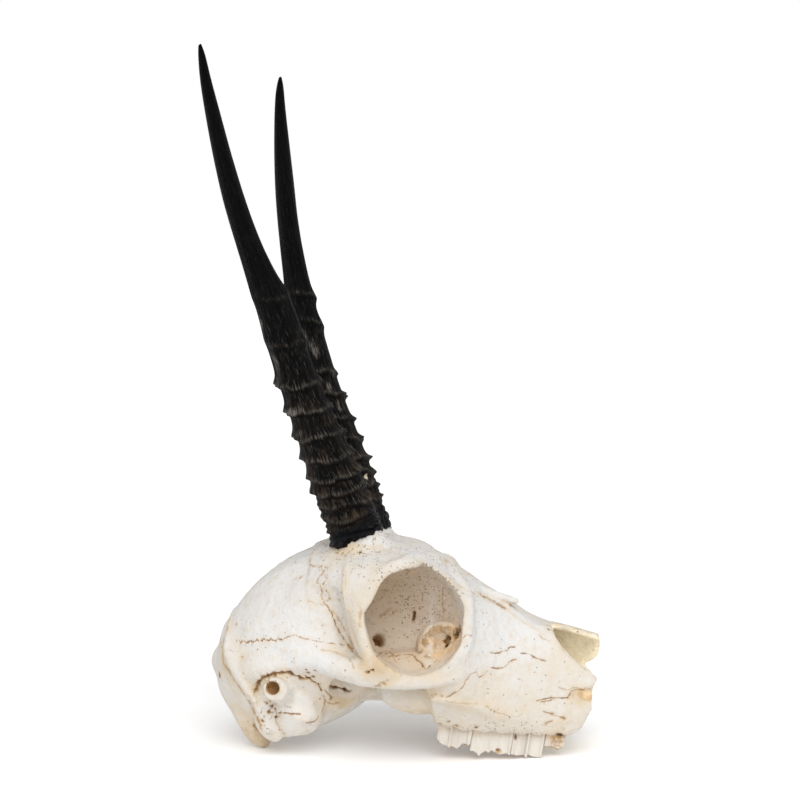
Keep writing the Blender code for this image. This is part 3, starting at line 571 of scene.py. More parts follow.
# Lines on the bone, in the view: how far they wander, half width and depth in millimetres, how dark they
# are, how warm the bone beside them is, then the points that they pass.
LINES = (
    # seams of the braincase
    (0.55, 0.26, 0.16, 0.42, 0.3, ((315, 549), (310, 557), (311, 565), (319, 566), (323, 572), (317, 580),
                                   (321, 589), (322, 598), (326, 605))),
    (0.40, 0.18, 0.12, 0.34, 0.3, ((322, 566), (328, 569), (325, 575), (328, 582), (325, 588), (329, 595),
                                   (327, 602))),
    (0.12, 0.26, 0.30, 0.50, 0.4, ((326, 605), (331, 612), (335, 622), (340, 632), (346, 641), (352, 649))),
    (0.15, 0.20, 0.14, 0.30, 0.5, ((333, 611), (339, 619), (344, 629), (349, 638), (353, 647), (357, 656))),
    (0.15, 0.20, 0.10, 0.25, 0.2, ((308, 601), (317, 604), (326, 605))),
    (0.42, 0.26, 0.20, 0.62, 0.3, ((236, 641), (246, 642), (256, 641), (266, 640), (275, 640), (283, 639))),
    (0.10, 0.20, 0.16, 0.46, 0.2, ((283, 639), (290, 636), (295, 635), (302, 638), (311, 640), (328, 643),
                                   (345, 645))),
    (0.25, 0.70, 0.15, 0.34, 0.9, ((229, 619), (226, 632), (223, 645), (223, 661), (228, 670), (237, 684),
                                   (244, 694), (250, 704), (255, 716), (261, 728))),
    (0.10, 0.24, 0.12, 0.10, 0.6, ((345, 566), (345, 578), (345, 590))),
    # ear region
    (0.10, 0.62, 0.90, 0.70, 0.8, ((256, 690), (259, 682), (265, 677), (275, 674), (286, 673), (295, 676),
                                   (302, 679), (309, 678))),
    (0.15, 0.34, 0.55, 0.66, 0.5, ((305, 676), (312, 681), (318, 685), (321, 691))),
    (0.10, 0.24, 0.30, 0.62, 0.2, ((271, 712), (277, 713), (285, 713), (292, 714), (300, 714))),
    (0.10, 0.26, 0.35, 0.45, 0.3, ((303, 722), (309, 723), (316, 721), (319, 716))),
    (0.12, 0.22, 0.20, 0.30, 0.4, ((275, 716), (278, 726), (283, 734), (287, 737))),
    (0.20, 0.30, 0.30, 0.45, 0.6, ((253, 706), (255, 714), (259, 722), (262, 727))),
    # painted shade: the slit under the cheek arch and the crease below it, these three lines carved and
    # darkened
    (0.02, 0.45, 1.10, 0.72, 0.6, ((330, 686), (335, 687), (340, 688), (345, 690))),
    (0.02, 0.24, 0.60, 0.60, 0.4, ((344, 690), (351, 692))),
    (0.10, 0.20, 0.35, 0.30, 0.5, ((324, 690), (329, 694), (334, 697))),
    (0.10, 0.26, 0.30, 0.40, 0.6, ((324, 700), (331, 704), (340, 703))),
    (0.25, 0.30, 0.30, 0.45, 0.8, ((253, 718), (255, 723), (255, 727), (258, 731))),
    # painted shade: a dark line along the front edge of the near ear swelling, where it stands before the
    # bone behind it
    (0.05, 0.28, 0.30, 0.42, 0.6, ((321, 690), (324, 697), (325, 704), (322, 712))),
    (0.10, 0.24, 0.20, 0.30, 0.5, ((346, 641), (350, 648), (356, 655), (362, 659))),
    (0.20, 0.24, 0.12, 0.22, 0.3, ((321, 650), (331, 651), (341, 654), (350, 660), (354, 668))),
    (0.05, 1.10, 0.00, 0.14, 1.0, ((573, 694), (580, 695), (589, 697))),
    (0.05, 0.24, 0.20, 0.40, 0.5, ((568, 698), (572, 691), (580, 690), (588, 691))),
    # inside the orbit
    (0.10, 0.22, 0.30, 0.75, 0.4, ((377, 657), (380, 653), (384, 651), (388, 651), (391, 653), (396, 656),
                                   (400, 654), (409, 654), (413, 655), (416, 659), (421, 663), (426, 669),
                                   (430, 665))),
    (0.15, 0.20, 0.20, 0.65, 0.4, ((385, 652), (389, 657), (392, 655), (395, 660), (397, 662))),
    (0.12, 0.20, 0.12, 0.35, 0.3, ((443, 590), (441, 600), (443, 611), (442, 625))),
    (0.05, 0.45, 1.20, 0.85, 0.2, ((414, 613), (414, 617), (413, 620))),
    (0.25, 0.75, 1.60, 0.95, 0.6, ((457, 628), (456, 634), (454, 639))),
    (0.25, 0.60, 1.20, 0.90, 0.6, ((449, 637), (447, 641), (446, 646))),
    (0.05, 0.60, 0.30, 0.20, 0.9, ((361, 609), (360, 618), (359, 627))),
    (0.10, 0.80, 0.00, 0.30, 0.2, ((381, 616), (386, 613), (390, 610))),
    (0.10, 0.50, 0.00, 0.22, 0.2, ((391, 615), (396, 610))),
    (0.20, 0.30, 0.00, 0.30, 0.8, ((418, 646), (422, 638), (429, 632), (437, 627), (444, 627), (450, 631))),
    (0.10, 0.45, 0.90, 0.60, 0.6, ((367, 673), (370, 671), (373, 670))),
    (0.10, 0.60, 0.50, 0.25, 1.0, ((376, 687), (380, 685), (384, 684))),
    # cracks of the cheek and snout
    (0.08, 0.20, 0.25, 0.55, 0.2, ((490, 653), (498, 653), (504, 651), (508, 650), (510, 647), (515, 647))),
    (0.08, 0.20, 0.25, 0.55, 0.2, ((487, 667), (494, 668), (502, 668), (507, 665), (511, 661), (517, 659))),
    (0.08, 0.20, 0.25, 0.55, 0.2, ((520, 653), (529, 654), (534, 657), (539, 659), (546, 661))),
    (0.12, 0.22, 0.22, 0.45, 0.3, ((488, 671), (484, 675), (479, 677), (476, 672), (470, 676), (466, 681),
                                   (463, 687), (460, 690), (453, 694), (446, 698))),
    (0.05, 0.18, 0.15, 0.35, 0.2, ((463, 638), (467, 635), (472, 636))),
    (0.05, 0.22, 0.25, 0.25, 0.2, ((539, 635), (544, 639), (550, 641))),
    (0.10, 0.18, 0.15, 0.30, 0.3, ((559, 687), (563, 689), (568, 690), (573, 688), (578, 688))),
    (0.08, 0.20, 0.35, 0.55, 0.2, ((537, 701), (545, 699), (552, 698), (560, 698), (568, 698))),
    (0.08, 0.18, 0.25, 0.60, 0.2, ((541, 702), (548, 701), (555, 699))),
    (0.10, 0.42, 0.25, 0.45, 0.4, ((543, 711), (548, 713), (553, 714))),
    (0.10, 0.42, 0.25, 0.45, 0.4, ((556, 716), (560, 717), (566, 719))),
    (0.05, 0.30, 0.20, 0.40, 0.4, ((546, 724), (549, 722), (552, 721))),
    (0.10, 0.24, 0.15, 0.16, 0.6, ((427, 697), (438, 700), (449, 702), (463, 704), (477, 704))),
    (0.10, 0.22, 0.15, 0.20, 0.5, ((487, 707), (496, 712), (505, 715), (513, 717), (519, 717), (523, 712),
                                   (526, 705))),
    (0.05, 0.50, 1.10, 0.70, 0.5, ((477, 592), (485, 596), (492, 600), (499, 604), (505, 607))),
)
# Seams away from the view: the same numbers, then points in the round that are laid on the skin
FAR_LINES = (
    (0.50, 0.24, 0.14, 0.36, 0.4, ((-19, 0, 70), (-8, 0, 70), (4, 0, 68), (14, 0, 62), (21, 0, 56))),
    (0.50, 0.24, 0.14, 0.40, 0.4, ((-24, 17, 62), (-27, 11, 66), (-29, 5, 68), (-30, 0, 68), (-29, -5, 68),
                                   (-27, -11, 66))),
    (0.35, 0.24, 0.16, 0.34, 0.4, ((-30, 0, 68), (-38, 0, 66), (-46, 0, 60), (-52, 0, 50))),
    (0.30, 0.22, 0.14, 0.34, 0.4, ((15, 9, 58), (19, 6, 58), (21, 0, 58), (19, -6, 58), (15, -9, 58))),
    (0.20, 0.20, 0.12, 0.30, 0.4, ((21, 0, 58), (32, 0, 50), (44, 0.4, 44), (54, 0.6, 40))),
    (0.30, 0.22, 0.16, 0.36, 0.5, ((-16, 0, 8), (-24, 0, 6), (-34, 0, 4))),
    (0.25, 0.22, 0.14, 0.34, 0.5, ((14, 0, 9), (24, 0, 9), (36, 0, 9), (46, 0, 9))),
    (0.30, 0.22, 0.14, 0.30, 0.5, ((24, -9, 9), (25, -4, 9), (24, 0, 9), (25, 4, 9), (24, 9, 9))),
    (0.40, 0.22, 0.14, 0.34, 0.4, ((-58, -13, 30), (-60, -7, 32), (-61, 0, 33), (-60, 7, 32), (-58, 13, 30))),
)
# Small holes: place in the view, radius and depth in millimetres, how dark
HOLES = (
    (379, 640, 1.55, 3.6, 0.95), (219, 675, 0.9, 0.5, 0.85), (421, 552, 0.80, 1.3, 0.55),
    (300, 577, 0.42, 0.5, 0.45), (360, 552, 0.40, 0.7, 0.85), (337, 552, 0.45, 0.5, 0.35),
    (342, 553, 0.45, 0.5, 0.35), (308, 673, 0.55, 0.8, 0.80), (313, 677, 0.50, 0.8, 0.75),
    (315, 671, 0.40, 0.6, 0.60), (306, 670, 0.35, 0.5, 0.50), (448, 722, 0.35, 0.5, 0.45),
    (450, 729, 0.40, 0.6, 0.55), (456, 726, 0.50, 0.7, 0.55), (440, 724, 0.40, 0.5, 0.50),
    (476, 728, 0.45, 0.6, 0.55), (473, 733, 0.50, 0.9, 0.95), (588, 716, 0.45, 0.6, 0.90),
    (272, 706, 0.45, 0.5, 0.60), (269, 712, 0.55, 0.6, 0.60), (275, 709, 0.40, 0.5, 0.70),
    (267, 703, 0.35, 0.4, 0.50), (276, 717, 0.40, 0.5, 0.65), (262, 721, 0.50, 0.5, 0.55),
    (549, 629, 0.45, 0.6, 0.55), (323, 584, 0.34, 0.4, 0.45), (326, 591, 0.30, 0.3, 0.40),
    (330, 599, 0.32, 0.3, 0.40), (341, 593, 0.34, 0.4, 0.40), (343, 598, 0.30, 0.3, 0.35),
    (339, 600, 0.28, 0.3, 0.30), (236, 624, 0.30, 0.3, 0.45), (242, 657, 0.30, 0.3, 0.35),
    (547, 625, 0.35, 0.4, 0.40), (512, 661, 0.30, 0.3, 0.35), (442, 696, 0.30, 0.3, 0.25),
    (332, 698, 0.55, 0.8, 0.45),
)
# Warm patches: place in the view, reach in millimetres, strength
WARM = (
    (252, 735, 6.0, 1.0), (262, 748, 5.5, 1.0), (247, 724, 3.0, 0.6), (225, 668, 4.5, 0.5),
    (236, 690, 4.0, 0.35), (275, 688, 3.2, 0.25), (390, 705, 9.0, 0.55), (420, 712, 6.0, 0.6),
    (360, 655, 5.0, 0.6), (350, 615, 4.0, 0.35), (362, 600, 4.0, 0.35), (378, 578, 4.0, 0.30),
    (390, 667, 4.5, 0.45), (430, 672, 4.5, 0.35), (345, 555, 5.0, 0.45), (580, 697, 3.4, 0.95),
    (575, 640, 9.0, 0.75), (345, 703, 5.0, 0.5), (370, 690, 5.0, 0.6), (500, 585, 4.0, 0.3),
    (395, 545, 5.0, 0.2), (490, 690, 12.0, 0.20), (540, 702, 9.0, 0.18), (468, 712, 8.0, 0.30),
    (335, 700, 4.5, 0.8), (322, 700, 3.0, 0.4), (448, 727, 4.0, 0.45), (561, 728, 4.0, 0.9),
    (345, 540, 6.0, 0.4), (325, 683, 4.0, 0.35), (378, 664, 5.0, 0.8), (410, 662, 6.0, 0.6),
    (356, 642, 4.0, 0.5), (364, 657, 4.0, 0.6), (350, 628, 3.5, 0.4), (385, 677, 4.0, 0.4),
    # the last patch is painted shade on the underside of the lump in front of the ear swelling
    (338, 704, 3.5, 0.7),
)


def first_hit(across, down):
    """The spot on the rough skin that a point of the view shows."""
    spot = rough_skin.ray_cast(Vector(eye_spot - SHIFT), sight(across, down))[0]
    return None if spot is None else np.array(spot)


def nearest(spot):
    return np.array(rough_skin.find_nearest(Vector(spot))[0])


def wandering(marks, reach, seed):
    """A line through marks in the view or in the round, laid on the skin, with a small seeded waver."""
    rng = np.random.default_rng(seed)
    seen = len(marks[0]) == 2
    spots = [first_hit(*mark) if seen else nearest(mark) for mark in through(marks, 6)]
    spots = np.array([spot for spot in spots if spot is not None])
    if len(spots) < 2:
        return None
    gaps = np.linalg.norm(np.diff(spots, axis=0), axis=1)
    spots = spots[np.concatenate(([True], gaps < 3.0))]
    length = np.concatenate(([0.0], np.cumsum(np.linalg.norm(np.diff(spots, axis=0), axis=1))))
    steps = np.linspace(0.0, length[-1], max(3, int(length[-1] / 0.3)))
    line = np.stack([np.interp(steps, length, spots[:, a]) for a in range(3)], 1)
    offset = np.zeros(len(line))
    for wave, share in ((2.6, 1.0), (1.3, 0.8), (0.7, 0.45)):
        offset += share * np.sin(2 * math.pi * steps / wave * rng.uniform(0.85, 1.15) + rng.uniform(0, 6.3))
    along = np.gradient(line, axis=0)
    if seen:
        toward = eye_back
    elif abs(spots[0][0]) < 50:
        toward = np.array((0.0, 0.0, 1.0))
    else:
        toward = np.array((1.0, 0.0, 0.0))
    across = np.cross(along, toward)
    across /= np.linalg.norm(across, axis=1)[:, None] + 1e-9
    return line + across * (reach * 0.6 * offset)[:, None]


# the stained condyles, which other bone hides in part: place in the round, reach, strength
CONDYLE_STAINS = (
    ((-49.0, 9.5, 12.0), 4.8, 0.9), ((-46.8, 10.0, 5.5), 5.2, 1.0), ((-44.5, 9.0, 1.2), 4.2, 0.9),
)
bone_lines, bone_holes, bone_warm = [], [], []
for side in (-1, 1):
    for spot, reach, strength in CONDYLE_STAINS:
        bone_warm.append((np.array(spot) * (1, side, 1), reach, strength))
for number, (reach, width, depth, dark, warm, marks) in enumerate(LINES):
    line = wandering(marks, reach, 40 + number)
    if line is None:
        continue
    bone_lines.append((line, width, depth, dark, warm, True))
    other = np.array([nearest(spot) for spot in line * (1, -1, 1)])
    bone_lines.append((other, width, depth, dark * 0.85, warm, False))
for number, (reach, width, depth, dark, warm, marks) in enumerate(FAR_LINES):
    bone_lines.append((wandering(marks, reach, 240 + number), width, depth, dark, warm, False))
for across, down, radius, depth, dark in HOLES:
    spot = first_hit(across, down)
    if spot is not None:
        bone_holes.append((spot, radius, depth, dark))
        bone_holes.append((nearest(spot * (1, -1, 1)), radius * 0.95, depth, dark))
for across, down, reach, strength in WARM:
    spot = first_hit(across, down)
    if spot is not None:
        bone_warm += [(spot, reach, strength), (spot * (1, -1, 1), reach, strength)]


def distance_to(line, p, within):
    """Distance of each point from a line, and the reach beyond it elsewhere."""
    result = np.full(len(p), float(within))
    box = ((p > line.min(0) - within) & (p < line.max(0) + within)).all(1)
    near = p[box]
    best = np.full(len(near), float(within))
    for a, b in zip(line, line[1:]):
        along = b - a
        share = np.clip((near - a) @ along / (along @ along + 1e-9), 0.0, 1.0)
        best = np.minimum(best, np.sqrt(((near - a - share[:, None] * along) ** 2).sum(1)))
    result[box] = best
    return result


def near_marks(p, reach, fine):
    """Which points lie near a line or hole, by its own width; fine asks for the side in the view alone."""
    found = np.zeros(len(p), bool)
    for line, width, _, _, _, seen in bone_lines:
        if seen or not fine:
            found |= distance_to(line, p, width + reach) < width + reach * 0.99
    for spot, radius, _, _ in bone_holes:
        if spot[1] < 0 or not fine:
            found |= ((p - spot) ** 2).sum(1) < (radius + reach) ** 2
    return found


SHARP_BEND, LONG_EDGE = 0.25, 0.25
facing = slope(bone_field, points)
bend = 1.0 - (facing[triangles[:, 0]] * facing[triangles[:, 1]]).sum(1)
bend = np.maximum(bend, 1.0 - (facing[triangles[:, 1]] * facing[triangles[:, 2]]).sum(1))
middle = points[triangles].mean(1)
outer = middle[:, 1] < -5.0 - 4.0 * (np.abs(middle[:, 0]) < 18)
ear = ((middle - (-39.3, -27.0, 22.8)) ** 2).sum(1) < 3.8**2
chosen = ((bend > SHARP_BEND) & outer & (middle[:, 2] > 4.0)) | ear | near_marks(middle, 0.5, False)
points, triangles = finer(points, triangles, chosen)
points = settle(bone_field, points, 1)
middle = points[triangles].mean(1)
points, triangles = finer(points, triangles, near_marks(middle, 0.12, False))
edge = np.linalg.norm(points[triangles[:, 0]] - points[triangles[:, 1]], axis=1)
middle = points[triangles].mean(1)
points, triangles = finer(points, triangles, near_marks(middle, 0.02, True) & (edge > LONG_EDGE))
points = settle(bone_field, points, 1, 0.2)
facing = slope(bone_field, points)

# how hollow the surroundings are, before the fine marks; the closeness of bone round each point gives painted
# shade in corners and hollows
hollow_shade = 1.0 - np.clip(bone_field(points + facing * 1.6) / 1.6, 0.0, 1.0)
worn_edge = 1.0 - np.clip(-bone_field(points - facing * 1.2) / 1.2, 0.0, 1.0)
# painted shade: bone deep in the orbits and cavities is tinted tan, less of it toward the snout
toward_snout = np.interp(points[:, 0], (-6, 12, 24, 32), (1.0, 0.7, 0.8, 0.0))
deep_shade = np.clip((-whole_bone(leaning(points))[0] - 1.2) / 5.0, 0.0, 1.0) * toward_snout

crack_and_shade = np.zeros(len(points))
warm = np.zeros(len(points))
sink = np.zeros(len(points))
uneven = np.clip(0.95 + 0.55 * waves(points, 3.0, 61) + 0.25 * waves(points, 1.2, 62), 0.35, 1.5)
for line, width, depth, dark, warmth, _ in bone_lines:
    away = distance_to(line, points, 4.0)
    core = np.clip(1.2 - away / (width * uneven), 0.0, 1.0)
    sink = np.maximum(sink, depth * core**0.8 * uneven)
    crack_and_shade = np.maximum(crack_and_shade, dark * core * np.clip(uneven, 0.3, 1.0))
    warm = np.maximum(warm, warmth * np.exp(-((away / (width + 0.9)) ** 2)) * 0.8)
for spot, radius, depth, dark in bone_holes:
    away = np.sqrt(((points - spot) ** 2).sum(1))
    core = np.clip(1.25 - away / radius, 0.0, 1.0)
    sink = np.maximum(sink, depth * np.sqrt(core))
    crack_and_shade = np.maximum(crack_and_shade, dark * np.clip(core * 1.6, 0, 1))
    warm = np.maximum(warm, 0.5 * np.exp(-((away / (radius + 0.7)) ** 2)))
mirrored = points * (1, 0, 1) + np.abs(points) * (0, 1, 0)
in_ear = (limb(mirrored, EAR_HOLE, (2.3, 2.1)) < 0.25) * eased(27.5 - mirrored[:, 1], 0.0, 1.5)
amber = 0.95 * in_ear
# painted shade: the inside of the ear hole darkens towards its front side
crack_and_shade = np.maximum(crack_and_shade, in_ear * np.clip((points[:, 0] + 41.2) / 5.0, 0.04, 0.42))
unhollowed = whole_bone(points)[0]
sunk = np.clip(-unhollowed / 0.5 - 0.2, 0.0, 1.0)
amber = np.maximum(amber, 0.32 * (limb(mirrored, CHEEK_CANAL, (2.5, 2.1, 0.9)) < 0.3) * sunk)
inside_duct = np.clip(-egg(mirrored, *DUCT, pitch=14.0) / 1.2 + 0.9, 0.0, 1.0) * (worn_edge < 0.6)
patchy = 0.42 + 0.40 * waves(points, 2.4, 33)
amber = np.maximum(amber, inside_duct * patchy * np.clip(sunk * 1.5 - 0.5, 0, 1))
# the inside of the nose at the broken snout: the bone's own yellow, made lighter as painted light on this
# shaded inner wall
in_nose = np.clip((-unhollowed - 0.8) / 1.2, 0, 1) * np.interp(points[:, 0], (28, 34), (0.0, 1.0))
for spot, reach, strength in bone_warm:
    away = ((points - spot) ** 2).sum(1) / reach**2
    warm = warm + strength * np.exp(-away) * (1.0 - np.clip(warm, 0, 1))
# painted shade: warmer and darker towards the bottom of the bone
warm = warm + 0.22 * np.clip((30.0 - points[:, 2]) / 22.0, 0, 1) * (1.0 - np.clip(warm, 0, 1))
points = points - facing * sink[:, None]


def patch(p, centre, radii):
    """A soft patch of strength 1 round one spot."""
    return np.exp(-(((p - centre) / radii) ** 2).sum(1))


# pores: thick under the horns, in the orbits, over the ears and along the tooth sockets
pores = np.zeros(len(points))
for side in (-1, 1):
    pores += patch(points, HORN_BASE * (1, side, 1), (11.0, 11.0, 8.0))
    pores += 0.9 * patch(points, (2.0, side * 14.0, 47.0), (12.0, 12.0, 13.0))
    pores += 0.8 * patch(points, (-41.0, side * 20.0, 14.0), (5.0, 6.0, 6.0))
    pores += 0.8 * patch(points, (22.0, side * 20.0, 10.0), (18.0, 6.0, 3.0))
    pores += 0.5 * patch(points, (-2.0, side * 30.0, 58.0), (9.0, 7.0, 5.0))


def mesh_piece(name, spots, faces, masks=()):
    """A smooth-shaded mesh from points in millimetres, with its named masks on its points."""
    mesh = bpy.data.meshes.new(name)
    mesh.vertices.add(len(spots))
    mesh.vertices.foreach_set("co", (np.asarray(spots) * MM).astype(np.float32).ravel())
    sides = faces.shape[1]
    mesh.loops.add(faces.size)
    mesh.loops.foreach_set("vertex_index", faces.astype(np.int32).ravel())
    mesh.polygons.add(len(faces))
    mesh.polygons.foreach_set("loop_start", np.arange(0, faces.size, sides, dtype=np.int32))
    mesh.update(calc_edges=True)
    mesh.validate()
    mesh.shade_smooth()
    for label, values in masks:
        kind, holds = ("FLOAT_VECTOR", "vector") if np.ndim(values) == 2 else ("FLOAT", "value")
        layer = mesh.attributes.new(label, kind, "POINT")
        layer.data.foreach_set(holds, np.asarray(values, np.float32).ravel())
    piece = bpy.data.objects.new(name, mesh)
    bpy.context.scene.collection.objects.link(piece)
    return piece


# held just inside the box of the solids
BOX_GAP = 0.02
cranium = mesh_piece(
    "bleached_cranium",
    np.clip(points + SHIFT, np.array(cad_box[0]) / MM + BOX_GAP, np.array(cad_box[1]) / MM - BOX_GAP),
    triangles,
    (
        ("crack_and_shade", crack_and_shade), ("warm", warm), ("deep_shade", deep_shade), ("hollow_shade", hollow_shade), ("worn_edge", worn_edge),
        ("pores", pores), ("in_nose", in_nose), ("amber", np.clip(amber, 0.0, 1.0)),
    ),
)


def new_node(tree, kind, inputs=(), **settings):
    """A shader node with its settings; its inputs are values, or sockets that feed them."""
    made = tree.nodes.new("ShaderNode" + kind)
    for name, value in settings.items():
        setattr(made, name, value)
    for name, value in dict(inputs).items():
        if isinstance(value, bpy.types.NodeSocket):
            tree.links.new(value, made.inputs[name])
        else:
            made.inputs[name].default_value = value
    return made


def mask_of(tree, label):
    return new_node(tree, "Attribute", attribute_name=label).outputs["Fac"]


def sums(tree, operation, first, second, clamp=False):
    return new_node(tree, "Math", {0: first, 1: second}, operation=operation, use_clamp=clamp).outputs[0]


def times(tree, first, second, clamp=False):
    return sums(tree, "MULTIPLY", first, second, clamp)


def noise(tree, where, scale, detail, roughness=0.5):
    """Cloudy noise over a place, in lumps of that many to the unit."""
    inputs = {"Vector": where, "Scale": scale, "Detail": detail, "Roughness": roughness}
    return new_node(tree, "TexNoise", inputs).outputs["Fac"]


def ranged(tree, value, low, high, start=0.0, end=1.0):
    """A value stretched from low..high to start..end, and held there."""
    ends = {"Value": value, "From Min": low, "From Max": high, "To Min": start, "To Max": end}
    return new_node(tree, "MapRange", ends).outputs["Result"]


def tinted(tree, share, ground, over):
    """Ground colour with another laid over it by a mask."""
    mix = new_node(tree, "Mix", {"Factor": share}, data_type="RGBA")
    for socket, value in ((mix.inputs[6], ground), (mix.inputs[7], over)):
        if isinstance(value, bpy.types.NodeSocket):
            tree.links.new(value, socket)
        else:
            socket.default_value = (*value, 1.0)
    return mix.outputs[2]


def group_with(name, inputs, outputs):
    group = bpy.data.node_groups.new(name, "ShaderNodeTree")
    for label, kind, value in inputs:
        socket = group.interface.new_socket(name=label, in_out="INPUT", socket_type="NodeSocket" + kind)
        if value is not None:
            socket.default_value = value
    for label, kind in outputs:
        group.interface.new_socket(name=label, in_out="OUTPUT", socket_type="NodeSocket" + kind)
    return group, group.nodes.new("NodeGroupInput").outputs, group.nodes.new("NodeGroupOutput").inputs


def placed(tree, group, **values):
    made = tree.nodes.new("ShaderNodeGroup")
    made.node_tree = group
    for name, value in values.items():
        label = name.replace("_", " ")
        if isinstance(value, bpy.types.NodeSocket):
            tree.links.new(value, made.inputs[label])
        else:
            made.inputs[label].default_value = value
    return made.outputs


# fine dry grain: an uneven ground, open pores and short fibres, for bone and teeth
dry_grain, inside, out = group_with(
    "dry_grain",
    (
        ("Position", "Vector", None), ("Pore Share", "Float", 0.3), ("Pore Size", "Float", 700.0),
        ("Seed", "Float", 0.0),
    ),
    (("Mottle", "Float"), ("Pores", "Float"), ("Height", "Float")),
)
shifted = {0: inside["Position"], 1: inside["Seed"]}
seeded = new_node(dry_grain, "VectorMath", shifted, operation="ADD").outputs[0]
mottle = noise(dry_grain, seeded, 120.0, 6.0, 0.62)
grain = noise(dry_grain, seeded, 1500.0, 3.0, 0.6)
cells = new_node(
    dry_grain, "TexVoronoi", {"Vector": seeded, "Scale": inside["Pore Size"], "Randomness": 1.0}, feature="F1"
)
dot = ranged(dry_grain, cells.outputs["Distance"], 0.10, 0.34, 1.0, 0.0)
picked = new_node(dry_grain, "SeparateColor", {"Color": cells.outputs["Color"]}).outputs[0]
kept = sums(dry_grain, "LESS_THAN", picked, inside["Pore Share"])
pore = times(dry_grain, dot, kept)
height = sums(dry_grain, "SUBTRACT", times(dry_grain, grain, 0.35), pore)
height = sums(dry_grain, "ADD", height, times(dry_grain, mottle, 0.6))
for label, value in (("Mottle", mottle), ("Pores", pore), ("Height", height)):
    dry_grain.links.new(value, out[label])

BONE_WHITE = (0.705, 0.698, 0.685)
BONE_SHADE = (0.640, 0.605, 0.56)
BONE_CREAM = (0.64, 0.52, 0.36)
BONE_TAN = (0.56, 0.425, 0.285)
BONE_YELLOW = (0.98, 0.86, 0.63)
BONE_AMBER = (0.70, 0.40, 0.12)
BONE_RUST = (0.37, 0.212, 0.085)
BONE_DARK = (0.15, 0.060, 0.018)

bone = bpy.data.materials.new("bleached_bone")
bone.use_nodes = True
tree = bone.node_tree
skin = tree.nodes["Principled BSDF"]
where = new_node(tree, "TexCoord").outputs["Object"]
pore_mask = mask_of(tree, "pores")
pore_share = ranged(tree, pore_mask, 0.0, 1.0, 0.04, 0.62)
grain = placed(tree, dry_grain, Position=where, Pore_Share=pore_share, Pore_Size=1350.0)
cloud = noise(tree, where, 38.0, 5.0, 0.6)
fleck = noise(tree, where, 420.0, 4.0, 0.55)
pit_share = ranged(tree, pore_mask, 0.0, 1.0, 0.004, 0.34)
pits = placed(tree, dry_grain, Position=where, Pore_Share=pit_share, Pore_Size=1150.0, Seed=5.0)
colour = tinted(tree, ranged(tree, cloud, 0.42, 0.68), BONE_WHITE, BONE_SHADE)
colour = tinted(tree, ranged(tree, fleck, 0.50, 0.72, 0.0, 0.45), colour, BONE_CREAM)
warm_mask = times(tree, mask_of(tree, "warm"), ranged(tree, grain["Mottle"], 0.3, 0.62, 0.35, 1.15))
warm_mask = sums(tree, "ADD", warm_mask, times(tree, mask_of(tree, "worn_edge"), 0.35))
# painted shade: cream and tan laid into corners and hollows where bone closes round the skin
hollow_shade_mask = times(tree, mask_of(tree, "hollow_shade"), ranged(tree, cloud, 0.35, 0.65, 0.35, 0.9))
colour = tinted(tree, sums(tree, "ADD", warm_mask, hollow_shade_mask, True), colour, BONE_CREAM)
corner = ranged(tree, mask_of(tree, "hollow_shade"), 0.45, 0.95, 0.0, 0.75)
colour = tinted(tree, times(tree, corner, ranged(tree, fleck, 0.35, 0.6, 0.5, 1.0)), colour, BONE_TAN)
# painted shade deep in the orbits and cavities, and the warm stains, which also carry some painted shade,
# both laid in tan
deep_shade_mask = times(tree, mask_of(tree, "deep_shade"), ranged(tree, cloud, 0.3, 0.7, 0.68, 0.98))
stain_and_shade = times(tree, ranged(tree, warm_mask, 0.70, 1.10, 0.0, 0.8), ranged(tree, fleck, 0.3, 0.6, 0.6, 1.0))
colour = tinted(tree, sums(tree, "MAXIMUM", deep_shade_mask, stain_and_shade), colour, BONE_TAN)
# painted light: the bone's yellow, lightened on the shaded inner wall of the nose
colour = tinted(tree, mask_of(tree, "in_nose"), colour, BONE_YELLOW)
amber_mask = times(tree, mask_of(tree, "amber"), ranged(tree, fleck, 0.3, 0.6, 0.6, 1.0))
colour = tinted(tree, amber_mask, colour, BONE_AMBER)
specks = times(tree, grain["Pores"], ranged(tree, pore_mask, 0.0, 0.8, 0.35, 0.75))
specks = sums(tree, "MAXIMUM", specks, times(tree, pits["Pores"], ranged(tree, fleck, 0.35, 0.6, 0.25, 0.8)))
colour = tinted(tree, specks, colour, BONE_RUST)
# dark seams, cracks and small holes, with the painted shade in slits, creases, edges and the ear hole that
# these marks also carry
crack_and_shade_mask = mask_of(tree, "crack_and_shade")
colour = tinted(tree, ranged(tree, crack_and_shade_mask, 0.02, 0.45, 0.0, 0.9), colour, BONE_RUST)
colour = tinted(tree, ranged(tree, crack_and_shade_mask, 0.40, 0.95, 0.0, 0.95), colour, BONE_DARK)
tree.links.new(colour, skin.inputs["Base Color"])
rough = ranged(tree, grain["Mottle"], 0.3, 0.7, 0.62, 0.86)
tree.links.new(rough, skin.inputs["Roughness"])
rise = sums(tree, "ADD", grain["Height"], times(tree, fleck, 1.6))
rise = sums(tree, "SUBTRACT", rise, times(tree, pits["Pores"], 1.5))
relief = new_node(tree, "Bump", {"Strength": 0.75, "Distance": 0.0005, "Height": rise}).outputs["Normal"]
tree.links.new(relief, skin.inputs["Normal"])
skin.inputs["Specular IOR Level"].default_value = 0.35
cranium.data.materials.append(bone)
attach(cranium, "root")
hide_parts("cranium")


# The horn sheaths
# Hollow black horn, grown in rings over two bone cores, each pushed down on its core as far as the foot.
# Every ring is a ridge that stands sharp in front; above the last one the horn is plain and polished.
HORN_SIDES = 132
RINGED_REACH, RINGED_STEP, PLAIN_ROWS = 54.0, 0.30, 150
